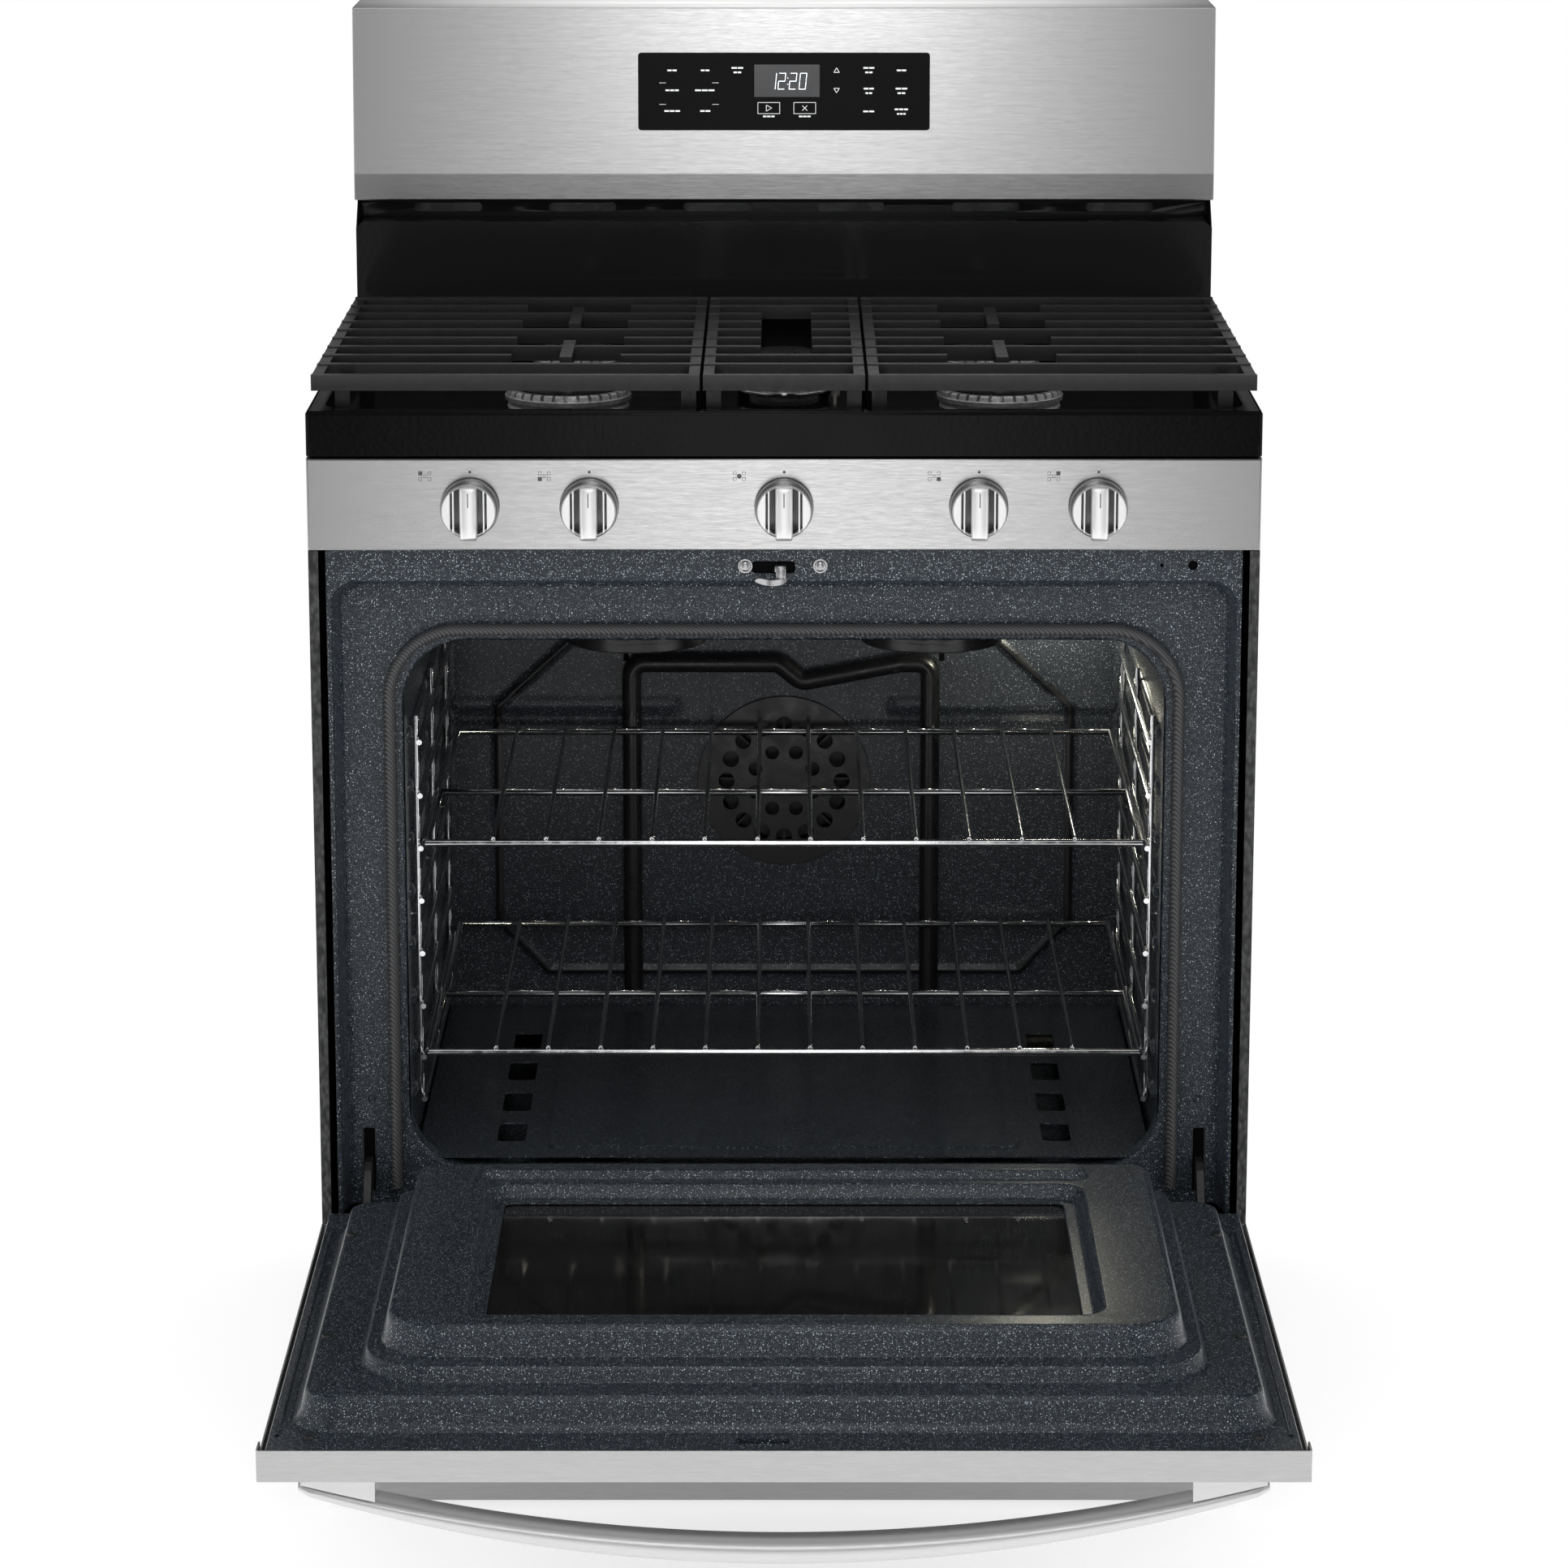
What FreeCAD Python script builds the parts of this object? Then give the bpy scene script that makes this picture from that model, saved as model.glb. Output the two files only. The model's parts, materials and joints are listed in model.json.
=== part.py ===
# Freestanding gas range, 762 mm class, with an open drop-down oven door.
# Frame: +X right, +Y towards the wall, +Z up, millimetres. Origin on the floor, at the middle of the
# footprint that the range has with its door down. Y values in the calls below are counted from the front
# face of the control panel and are moved by "front_plane" inside the helpers.
import FreeCAD, Part
import math
import os
import re
import Sketcher
from FreeCAD import Vector, Rotation, Placement

doc = FreeCAD.newDocument("gas_range")

# ---------------------------------------------------------------- driving dimensions
DIMS = [
    ("front_plane", -44.0, "front face of the control panel, from the origin"),
    ("half_width", 379.5, "half of the outside width"),
    ("sheet_side", 1.5, "side panel sheet"),
    ("rear_face", 638.0, "rear face behind the front plane"),
    ("base_level", 12.0, "underside of the base pan"),
    ("panel_low", 803.0, "bottom of the control panel"),
    ("panel_high", 877.0, "top of the control panel"),
    ("cook_low", 879.0, "bottom of the cooktop lip"),
    ("cook_high", 915.0, "top of the cooktop lip"),
    ("tray_level", 894.0, "floor of the spill tray"),
    ("cook_back", 525.0, "rear end of the cooktop"),
    ("guard_low", 1020.0, "bottom of the backguard"),
    ("guard_bend", 1043.5, "bend line of the backguard face"),
    ("guard_high", 1188.0, "top of the backguard"),
    ("guard_front", 514.0, "lower face of the backguard"),
    ("guard_lean", 13.0, "how far the face leans back"),
    ("knob_level", 838.3, "height of the knob axes"),
    ("knob_a", 249.7, "outer knob axes"),
    ("knob_b", 154.8, "inner knob axes"),
    ("knob_radius", 23.5, "knob skirt radius"),
    ("stem_radius", 4.0, "valve stem radius"),
    ("grate_top", 941.0, "top of the grates"),
    ("grate_bar", 8.0, "width of a grate bar"),
    ("grate_pitch", 47.8, "pitch of the cross bars"),
    ("grate_first", 81.1, "first cross bar behind the front bar"),
    ("burner_x", 177.5, "burner centres, left and right"),
    ("burner_front", 162.0, "front burner centres"),
    ("burner_rear", 356.0, "rear burner centres"),
    ("burner_radius", 52.0, "large burner head radius"),
    ("frame_half", 366.5, "half width of the oven front frame"),
    ("rim_face", 10.0, "face of the front frame rim"),
    ("field_face", 38.5, "face of the recessed sealing field"),
    ("recess_half", 359.0, "half width of the recess"),
    ("recess_high", 774.7, "top of the recess"),
    ("open_half", 308.7, "half width of the oven opening"),
    ("open_low", 275.8, "bottom of the oven opening"),
    ("open_high", 722.3, "top of the oven opening"),
    ("open_round", 53.0, "corner radius of the oven opening"),
    ("cavity_half", 308.0, "half width inside the cavity"),
    ("cavity_low", 256.0, "bottom inside the cavity"),
    ("cavity_high", 722.0, "top inside the cavity"),
    ("cavity_back", 505.0, "rear wall inside the cavity"),
    ("floor_level", 284.0, "underside of the oven floor"),
    ("rack_half", 294.0, "half width of a rack between its side rails"),
    ("rack_upper", 545.5, "upper rack level"),
    ("rack_lower", 367.0, "lower rack level"),
    ("rack_rail", 3.0, "radius of a rack rail"),
    ("rack_wire", 1.9, "radius of a rack wire"),
    ("rack_pitch", 43.45, "pitch of the rack wires"),
    ("axis_y", -1.0, "door hinge axis"),
    ("axis_z", 249.0, "door hinge axis"),
    ("door_low", 226.0, "outer face of the door, door down"),
    ("door_flange", 250.0, "liner flange of the door, door down"),
    ("door_edge", -550.0, "top edge of the door, door down"),
    ("door_end", -1.0, "hinge end of the door, door down"),
    ("step_c", 275.0, "sealing step of the liner"),
    ("step_b", 287.0, "second step of the liner"),
    ("step_a", 310.0, "top of the liner plug"),
    ("plug_end", -46.0, "hinge end of the liner plug"),
    ("glass_half", 222.0, "half width of the door window"),
    ("handle_half", 353.0, "half length of the handle"),
    ("handle_front", -520.0, "outer side of the handle bar"),
    ("handle_back", -490.0, "inner side of the handle bar"),
    ("handle_thick", 11.0, "thickness of the handle bar at its ends"),
    ("handle_tip", 203.0, "underside of the bar at its ends"),
    ("handle_mid", 148.0, "underside of the bar at its middle"),
    ("handle_belly", 20.0, "thickness of the handle bar at its middle"),
    ("drawer_low", 9.0, "bottom of the drawer front"),
    ("drawer_high", 222.0, "top of the drawer front"),
    ("drawer_face", -26.0, "face of the drawer front"),
    ("drawer_half", 358.0, "half width of the drawer box"),
    ("drawer_deep", 560.0, "rear end of the drawer box"),
    ("leg_radius", 19.0, "levelling foot radius"),
    ("inlet_radius", 9.5, "gas inlet bore radius"),
    ("gland_radius", 11.0, "cord gland bore radius"),
]
sheet = doc.addObject("Spreadsheet::Sheet", "Dims")
for i, (name, value, note) in enumerate(DIMS):
    sheet.set("A%d" % (i + 1), name)
    sheet.set("B%d" % (i + 1), repr(value))
    sheet.set("C%d" % (i + 1), note)
    sheet.setAlias("B%d" % (i + 1), name)
doc.recompute()
NUM = {name: value for name, value, note in DIMS}
WORD = re.compile(r"(?<![\w.])[a-z]+(?:_[a-z]+)+\b")
FRONT = NUM["front_plane"]
probe = doc.addObject("Part::Vertex", "Probe")


def ex(value):
    """The expression text of a size: a number stays, a named size reads its cell."""
    if isinstance(value, (int, float)):
        return repr(float(value))
    return WORD.sub(lambda m: "Dims." + m.group(0) if m.group(0) in NUM else m.group(0), value)


def num(value):
    """The present value of a size."""
    if isinstance(value, (int, float)):
        return float(value)
    got = probe.evalExpression(ex(value))
    return float(got.Value) if hasattr(got, "Value") else float(got)


def less(a, b):
    return "(%s) - (%s)" % (ex(a), ex(b))


def deep(value):
    """A Y size counted from the front plane, in the model frame."""
    return "%s + Dims.front_plane" % ex(value)


count = [0]


def fresh(stem):
    count[0] += 1
    return "%s_%d" % (stem, count[0])


# ---------------------------------------------------------------- Part primitives
def box(x0, x1, y0, y1, z0, z1, name=None):
    o = doc.addObject("Part::Box", fresh(name or "Block"))
    o.setExpression("Length", less(x1, x0))
    o.setExpression("Width", less(y1, y0))
    o.setExpression("Height", less(z1, z0))
    o.setExpression("Placement.Base.x", ex(x0))
    o.setExpression("Placement.Base.y", deep(y0))
    o.setExpression("Placement.Base.z", ex(z0))
    return o


TURN = {"Z": Rotation(), "X": Rotation(Vector(0, 1, 0), 90), "Y": Rotation(Vector(1, 0, 0), -90)}


def rod(axis, cx, cy, cz, radius, length, name=None):
    """A cylinder that starts at the point and runs along +axis."""
    o = doc.addObject("Part::Cylinder", fresh(name or "Rod"))
    o.Placement = Placement(Vector(0, 0, 0), TURN[axis])
    o.setExpression("Radius", ex(radius))
    o.setExpression("Height", ex(length))
    o.setExpression("Placement.Base.x", ex(cx))
    o.setExpression("Placement.Base.y", deep(cy))
    o.setExpression("Placement.Base.z", ex(cz))
    return o


def ball(cx, cy, cz, radius):
    o = doc.addObject("Part::Sphere", fresh("Ball"))
    o.setExpression("Radius", ex(radius))
    o.setExpression("Placement.Base.x", ex(cx))
    o.setExpression("Placement.Base.y", deep(cy))
    o.setExpression("Placement.Base.z", ex(cz))
    return o


def fuse(parts, name=None):
    if len(parts) == 1:
        return parts[0]
    o = doc.addObject("Part::MultiFuse", fresh(name or "Union"))
    o.Shapes = list(parts)
    return o


def cut(base, tools, name=None):
    o = doc.addObject("Part::Cut", fresh(name or "Cut"))
    o.Base = base
    o.Tool = fuse(tools) if isinstance(tools, (list, tuple)) else tools
    return o


def mirrored(obj, name=None):
    o = doc.addObject("Part::Mirroring", fresh(name or "Mirror"))
    o.Source = obj
    o.Base = Vector(0, 0, 0)
    o.Normal = Vector(1, 0, 0)
    return o


def group(parts, name=None):
    o = doc.addObject("Part::Compound", fresh(name or "Group"))
    o.Links = list(parts)
    return o


# ---------------------------------------------------------------- PartDesign
ROLE = {"XY": "XY_Plane", "XZ": "XZ_Plane", "YZ": "YZ_Plane"}


def new_body(label):
    b = doc.addObject("PartDesign::Body", "Body_" + label)
    b.Label = label
    if hasattr(b, "AllowCompound"):
        b.AllowCompound = True
    return b


def plane_of(body, plane):
    for f in body.Origin.OriginFeatures:
        if f.Role == ROLE[plane]:
            return f
    raise RuntimeError(plane)


def local(plane, a, b):
    """Sketch coordinates of a point: XY takes (x, y), XZ takes (x, z), YZ takes (y, z)."""
    if plane == "XY":
        return ex(a), deep(b)
    if plane == "XZ":
        return ex(a), ex(b)
    return deep(a), ex(b)


def sketch(body, plane, level):
    sk = body.newObject("Sketcher::SketchObject", fresh("Sketch"))
    sk.AttachmentSupport = (plane_of(body, plane), [""])
    sk.MapMode = "FlatFace"
    shift = {"XY": ex(level), "XZ": "-(%s)" % deep(level), "YZ": ex(level)}[plane]
    sk.setExpression("AttachmentOffset.Base.z", shift)
    return sk


def pin_point(sk, g, p, x_text, y_text):
    c = sk.addConstraint(Sketcher.Constraint("DistanceX", -1, 1, g, p, num(x_text)))
    sk.setExpression("Constraints[%d]" % c, ex(x_text))
    c = sk.addConstraint(Sketcher.Constraint("DistanceY", -1, 1, g, p, num(y_text)))
    sk.setExpression("Constraints[%d]" % c, ex(y_text))


def draw_poly(sk, plane, pts):
    pts = [local(plane, a, b) for a, b in pts]
    val = [(num(a), num(b)) for a, b in pts]
    first = sk.GeometryCount
    n = len(pts)
    for i in range(n):
        a, b = val[i], val[(i + 1) % n]
        sk.addGeometry(Part.LineSegment(Vector(a[0], a[1], 0), Vector(b[0], b[1], 0)), False)
    for i in range(n):
        sk.addConstraint(Sketcher.Constraint("Coincident", first + i, 2, first + (i + 1) % n, 1))
    for i in range(n):
        pin_point(sk, first + i, 1, pts[i][0], pts[i][1])


def draw_circle(sk, plane, a, b, radius):
    ea, eb = local(plane, a, b)
    g = sk.addGeometry(Part.Circle(Vector(num(ea), num(eb), 0), Vector(0, 0, 1), num(radius)), False)
    pin_point(sk, g, 3, ea, eb)
    c = sk.addConstraint(Sketcher.Constraint("Radius", g, num(radius)))
    sk.setExpression("Constraints[%d]" % c, ex(radius))


def draw_round(sk, plane, a0, a1, b0, b1, radius):
    """A rectangle with rounded corners."""
    (e0, f0), (e1, f1) = local(plane, a0, b0), local(plane, a1, b1)
    x0, y0, x1, y1, q = num(e0), num(f0), num(e1), num(f1), num(radius)
    V = lambda a, b: Vector(a, b, 0)
    g = sk.GeometryCount
    sk.addGeometry(Part.LineSegment(V(x0 + q, y0), V(x1 - q, y0)), False)
    sk.addGeometry(Part.LineSegment(V(x1, y0 + q), V(x1, y1 - q)), False)
    sk.addGeometry(Part.LineSegment(V(x1 - q, y1), V(x0 + q, y1)), False)
    sk.addGeometry(Part.LineSegment(V(x0, y1 - q), V(x0, y0 + q)), False)
    Z = Vector(0, 0, 1)
    for cx, cy, s in ((x1 - q, y0 + q, 1.5), (x1 - q, y1 - q, 0.0), (x0 + q, y1 - q, 0.5), (x0 + q, y0 + q, 1.0)):
        sk.addGeometry(Part.ArcOfCircle(Part.Circle(V(cx, cy), Z, q), s * math.pi, (s + 0.5) * math.pi), False)
    T = lambda *a: sk.addConstraint(Sketcher.Constraint("Tangent", *a))
    for i in range(4):
        T(g + i, 2, g + 4 + i, 1)
        T(g + 4 + i, 2, g + (i + 1) % 4, 1)
    for i, kind in enumerate(("Horizontal", "Vertical", "Horizontal", "Vertical")):
        sk.addConstraint(Sketcher.Constraint(kind, g + i))
    for i in range(3):
        sk.addConstraint(Sketcher.Constraint("Equal", g + 4, g + 5 + i))
    c = sk.addConstraint(Sketcher.Constraint("Radius", g + 4, q))
    sk.setExpression("Constraints[%d]" % c, ex(radius))
    for kind, geo, value, text in (("DistanceX", g + 3, x0, e0), ("DistanceX", g + 1, x1, e1), ("DistanceY", g + 0, y0, f0), ("DistanceY", g + 2, y1, f1)):
        c = sk.addConstraint(Sketcher.Constraint(kind, -1, 1, geo, 1, value))
        sk.setExpression("Constraints[%d]" % c, ex(text))


def draw(sk, plane, shapes):
    for s in shapes:
        if s[0] == "rect":
            draw_poly(sk, plane, [(s[1], s[3]), (s[2], s[3]), (s[2], s[4]), (s[1], s[4])])
        elif s[0] == "round":
            draw_round(sk, plane, *s[1:])
        elif s[0] == "circle":
            draw_circle(sk, plane, *s[1:])
        else:
            draw_poly(sk, plane, s[1])


def pad(body, plane, low, high, *shapes):
    """Adds the drawn section between two levels along the plane's axis."""
    sk = sketch(body, plane, high if plane == "XZ" else low)
    draw(sk, plane, shapes)
    f = body.newObject("PartDesign::Pad", fresh("Pad"))
    f.Profile = sk
    f.setExpression("Length", less(high, low))
    body.Tip = f
    return f


def pocket(body, plane, low, high, *shapes):
    """Removes the drawn section between two levels along the plane's axis."""
    sk = sketch(body, plane, high if plane == "XZ" else low)
    draw(sk, plane, shapes)
    f = body.newObject("PartDesign::Pocket", fresh("Pocket"))
    f.Profile = sk
    f.Reversed = True
    f.setExpression("Length", less(high, low))
    body.Tip = f
    return f


def round_edges(body, radius, test, kind="PartDesign::Fillet"):
    """Rounds or bevels the edges of the body's tip that the test picks by their middle point and ends."""
    doc.recompute()
    tip = body.Tip
    picked = []
    for i, e in enumerate(tip.Shape.Edges):
        bb = e.BoundBox
        if test(bb):
            picked.append("Edge%d" % (i + 1))
    if not picked:
        raise RuntimeError("no edge picked on " + body.Label)
    f = body.newObject(kind, fresh("Round"))
    f.Base = (tip, picked)
    f.setExpression("Radius" if kind.endswith("Fillet") else "Size", ex(radius))
    body.Tip = f
    return f


def tube_path(points, bend):
    """A wire of straight runs joined by tangent arcs of one bend radius."""
    pts = [Vector(*p) for p in points]
    edges, start = [], pts[0]
    for i in range(1, len(pts) - 1):
        a, b, c = pts[i - 1], pts[i], pts[i + 1]
        u, v = (a - b).normalize(), (c - b).normalize()
        half = u.getAngle(v) / 2
        trim = bend / math.tan(half)
        p, q = b + u * trim, b + v * trim
        mid = b + (u + v).normalize() * (bend / math.sin(half) - bend)
        edges += [Part.LineSegment(start, p).toShape(), Part.Arc(p, mid, q).toShape()]
        start = q
    edges.append(Part.LineSegment(start, pts[-1]).toShape())
    return Part.Wire(edges)


def swept(name, points, radius, bend):
    path = tube_path([(x, y + FRONT, z) for x, y, z in points], bend)
    d = path.Edges[0].tangentAt(path.Edges[0].FirstParameter)
    ring = Part.Wire(Part.makeCircle(radius, path.Vertexes[0].Point, d))
    o = doc.addObject("Part::Feature", fresh(name))
    o.Shape = path.makePipeShell([ring], True, True)
    return o


NODES = {}


def node(label, obj):
    obj.Label = label
    NODES[label] = obj
    return obj


W = "half_width"

# ================================================================ casing
# Side panels: one folded sheet each, with a front return flange.
def side_panel(label):
    b = new_body(label)
    pad(b, "YZ", "half_width - sheet_side", W, ("poly", [
        (1, 14), (1, "panel_low - 0.5"), (24, "panel_low - 0.5"), (24, "cook_low"),
        ("rear_face - sheet_side", "cook_low"), ("rear_face - sheet_side", 14)]))
    pad(b, "YZ", "half_width - 8", "half_width - sheet_side", ("rect", 1, 2.5, 14, "panel_low - 0.5"))
    pad(b, "YZ", "half_width - 14", "half_width - sheet_side", ("rect", "rear_face - 3", "rear_face - sheet_side", 14, "cook_low"))
    return b


right = side_panel("side_panel_right")
node("side_panel_right", right)
left = mirrored(right, "LeftSide")
node("side_panel_left", left)

# Rear panel in three sheets with fine seams; the gas line comes out through the open corner between them.
b = new_body("rear_sheet")
pad(b, "XZ", "rear_face - 1.5", "rear_face", ("rect", "-half_width", 217.5, 60, "guard_low"))
pocket(b, "XZ", "rear_face - 1.5", "rear_face", ("circle", -250, 420, "gland_radius + 1.5"))
node("rear_panel", group([b, box(218, W, "rear_face - 1.5", "rear_face", 182.5, "guard_low"), box(282, W, "rear_face - 1.5", "rear_face", 60, 182)]))

# Base pan: a shallow tray that carries the legs.
b = new_body("base_pan")
pad(b, "XY", "base_level", 14, ("rect", "-half_width", W, 12, "rear_face"))
pad(b, "XY", 14, 60, ("rect", "-half_width", W, "rear_face - 1.5", "rear_face"))
pad(b, "XY", 14, 40, ("rect", -300, 300, 590, 592))
node("base_pan", b)

# Levelling legs: four feet with studs.
legs = []
for sx in (-330, 330):
    for y in (60, 590):
        legs.append(fuse([rod("Z", sx, y, 0, "leg_radius", 7), rod("Z", sx, y, 7, 7, 5)]))
node("levelling_legs", group(legs))

# Cross rail under the oven opening, above the drawer.
b = new_body("lower_cross_rail")
pad(b, "YZ", "-half_width + 1.5", "half_width - 1.5", ("poly", [(8, 228), (8, 240), (30, 240), (30, 238.5), (9.5, 238.5), (9.5, 228)]))
node("lower_cross_rail", b)

# ================================================================ cooktop
b = new_body("cooktop")
pad(b, "XY", "cook_low", "cook_high", ("round", "-half_width", W, -1, "cook_back", 4))
pocket(b, "XY", "tray_level", "cook_high", ("round", -366, 366, 13, "cook_back - 13", 24))
pocket(b, "XY", "cook_low", "tray_level - 1.5", ("rect", "-half_width + 2", "half_width - 2", 1, "cook_back - 2"))
pocket(b, "XY", "tray_level - 1.5", "tray_level",
       ("circle", "-burner_x", "burner_front", 30), ("circle", "burner_x", "burner_front", 30),
       ("circle", "-burner_x", "burner_rear", 30), ("circle", "burner_x", "burner_rear", 30),
       ("circle", 0, 265, 30))
round_edges(b, 3.0, lambda q: q.ZMin > NUM["cook_high"] - 0.01 and q.YMin < FRONT - 0.9 and q.YLength < 8)
node("cooktop", b)

# Burners: a head with a throat, a cap and an igniter at each of the five places.
places = [("-burner_x", "burner_front", 52, 44), ("burner_x", "burner_front", 52, 44),
          ("-burner_x", "burner_rear", 38, 32), ("burner_x", "burner_rear", 42, 35)]
heads, caps, pins = [], [], []
for x, y, hr, cr in places:
    head = fuse([rod("Z", x, y, 868, 27, "tray_level - 868"), rod("Z", x, y, "tray_level", hr - 6, 5),
                 rod("Z", x, y, "tray_level + 5", hr, 10)])
    slots = [box("(%s) - 80" % x, "(%s) + 80" % x, "(%s) - 0.8" % y, "(%s) + 0.8" % y, "tray_level + 12", "tray_level + 16")]
    heads.append(cut(head, slots))
    caps.append(rod("Z", x, y, "tray_level + 15", cr, 6))
    pins.append(fuse([rod("Z", x, "(%s) + %s" % (y, hr + 5), "tray_level", 4, 8), rod("Z", x, "(%s) + %s" % (y, hr + 5), "tray_level + 8", 1.4, 8)]))
oval = fuse([rod("Z", 0, 265, 868, 27, "tray_level - 868"), box(-30, 30, 175, 355, "tray_level", "tray_level + 5"),
             box(-37, 37, 205, 325, "tray_level + 5", "tray_level + 15"), rod("Z", 0, 205, "tray_level + 5", 37, 10), rod("Z", 0, 325, "tray_level + 5", 37, 10)])
heads.append(oval)
caps.append(fuse([box(-30, 30, 205, 325, "tray_level + 15", "tray_level + 21"), rod("Z", 0, 205, "tray_level + 15", 30, 6), rod("Z", 0, 325, "tray_level + 15", 30, 6)]))
pins.append(fuse([rod("Z", 43, 265, "tray_level", 4, 8), rod("Z", 43, 265, "tray_level + 8", 1.4, 8)]))
node("burner_heads", group(heads))
node("burner_caps", group(caps))
node("igniters", group(pins))


# Grates: a cast frame of cross bars, side rails, fingers over the burners and feet.
def bar_y(n):
    return "grate_first + %d * grate_pitch" % n


def grate(x0, x1, gaps, hubs, feet):
    low, top = "grate_top - 12", "grate_top"
    parts = [box(x0, x1, 18.8, 26.8, "grate_top - 12.5", top)]
    for xx in (x0, x1 - 9):
        parts.append(box(xx, xx + 9, 18.8, bar_y(8) + " + 4", low, "grate_top - 1"))
    for n in range(9):
        y0, y1 = bar_y(n) + " - 4", bar_y(n) + " + 4"
        gap = gaps.get(n)
        if gap:
            parts += [box(x0, gap[0], y0, y1, low, top), box(gap[1], x1, y0, y1, low, top)]
        else:
            parts.append(box(x0, x1, y0, y1, low, top))
    for hx0, hx1, hy0, hy1 in hubs:
        parts.append(box(hx0, hx1, hy0, hy1, low, top))
    for fx, fy in feet:
        parts.append(box(fx - 6, fx + 6, fy, fy + 10, "tray_level + 0.5", "grate_top - 6"))
        side = x0 + 1 if abs(fx - x0) < abs(fx - x1) else x1 - 1
        parts.append(box(min(fx, side), max(fx, side), fy, fy + 10, "grate_top - 11", "grate_top - 2"))
    return fuse(parts)


# Bars 1, 3, 5 and 7 of each pair stop short over a burner; the hubs join fingers fore and aft.
def side_grate(x0, x1, cx, outer, inner):
    gap = (cx - 44.5, cx + 44.5)
    gaps = {1: gap, 3: gap, 5: gap, 7: gap}
    hubs = [(cx - 5, cx + 5, 115, 209), (cx - 5, cx + 5, 304, 404)]
    fx = [outer, inner]
    return grate(x0, x1, gaps, hubs, [(x, y) for x in fx for y in (30, 268.5, 459.5)])


node("grate_left", side_grate(-376, -67, -177.5, -352, -76))
node("grate_right", side_grate(67, 376, 177.5, 352, 76))
mid_gap = (-19, 23)
node("grate_centre", grate(-64.5, 64.5, {2: mid_gap, 3: mid_gap, 4: mid_gap, 5: mid_gap, 6: mid_gap}, [],
                           [(x, y) for x in (-56, 56) for y in (24, 459.5)]))

# ================================================================ backguard
def lean(z):
    return "guard_front + (%s - guard_bend) * guard_lean / (guard_high - guard_bend)" % z


b = new_body("backguard_shell")
pad(b, "YZ", "-half_width", W, ("poly", [("guard_front", "guard_low"), ("guard_front", "guard_bend"),
    ("guard_front + guard_lean", "guard_high"), ("rear_face", "guard_high"), ("rear_face", "guard_low")]))
pocket(b, "YZ", "-half_width + 1.2", "half_width - 1.2", ("poly", [("guard_front + 1.2", "guard_low + 1.2"), ("guard_front + 1.2", "guard_bend"),
    ("guard_front + guard_lean + 1.2", "guard_high - 1.2"), ("rear_face - 1.2", "guard_high - 1.2"), ("rear_face - 1.2", "guard_low + 1.2")]))
node("backguard_shell", b)

b = new_body("display_glass")
pad(b, "YZ", -128.4, 128.4, ("poly", [(lean(1081.5) + " - 1.5", 1081.5), (lean(1149) + " - 1.5", 1149), (lean(1149), 1149), (lean(1081.5), 1081.5)]))
round_edges(b, 3.0, lambda q: abs(q.XMin) > 128.3 and q.XLength < 0.01 and q.ZLength < 0.5)
node("display_glass", b)

# Black lower panel with its side cheeks and the roof below the vent.
b = new_body("backguard_lower_panel")
pad(b, "XZ", "cook_back", "cook_back + 1.5", ("poly", [("-half_width", "cook_low"), (W, "cook_low"), (W, 994), ("half_width - 6", 1000), ("-half_width + 6", 1000), ("-half_width", 994)]))
pad(b, "XZ", "cook_back + 1.5", 566, ("rect", "-half_width + 6", "half_width - 6", 998.5, 1000))
pad(b, "YZ", "half_width - 1.2", W, ("poly", [("cook_back + 1.5", "cook_low"), ("cook_back + 1.5", 994), (548, 1016), (548, "guard_low"), ("rear_face - 1.5", "guard_low"), ("rear_face - 1.5", "cook_low")]))
pad(b, "YZ", "-half_width", "-half_width + 1.2", ("poly", [("cook_back + 1.5", "cook_low"), ("cook_back + 1.5", 994), (548, 1016), (548, "guard_low"), ("rear_face - 1.5", "guard_low"), ("rear_face - 1.5", "cook_low")]))
lower = b

b = new_body("vent_grille")
pad(b, "XZ", 564, 566, ("rect", "-half_width + 1.2", "half_width - 1.2", 1000, "guard_low"))
for k in range(6):
    x = -330 + 120 * k
    pocket(b, "XZ", 564, 566, ("round", x, x + 60, 1004, 1012, 3.5))
node("backguard_lower_panel", fuse([lower, b]))

# ================================================================ control panel, knobs and gas train
KNOBS = [("left_rear", "-knob_a"), ("left_front", "-knob_b"), ("centre", 0), ("right_front", "knob_b"), ("right_rear", "knob_a")]
b = new_body("control_panel")
pad(b, "XZ", 0, 22, ("rect", "-half_width", W, "panel_low", "panel_high"))
pocket(b, "XZ", 1.5, 22, ("rect", "-half_width + 1.5", "half_width - 1.5", "panel_low + 1.5", "panel_high - 1.5"))
pocket(b, "XZ", 0, 1.5, *[("circle", x, "knob_level", 5.5) for _, x in KNOBS])
round_edges(b, 1.4, lambda q: q.YMax < FRONT + 0.01 and (q.XLength > 500 or q.ZLength > 50))
node("control_panel", b)

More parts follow.
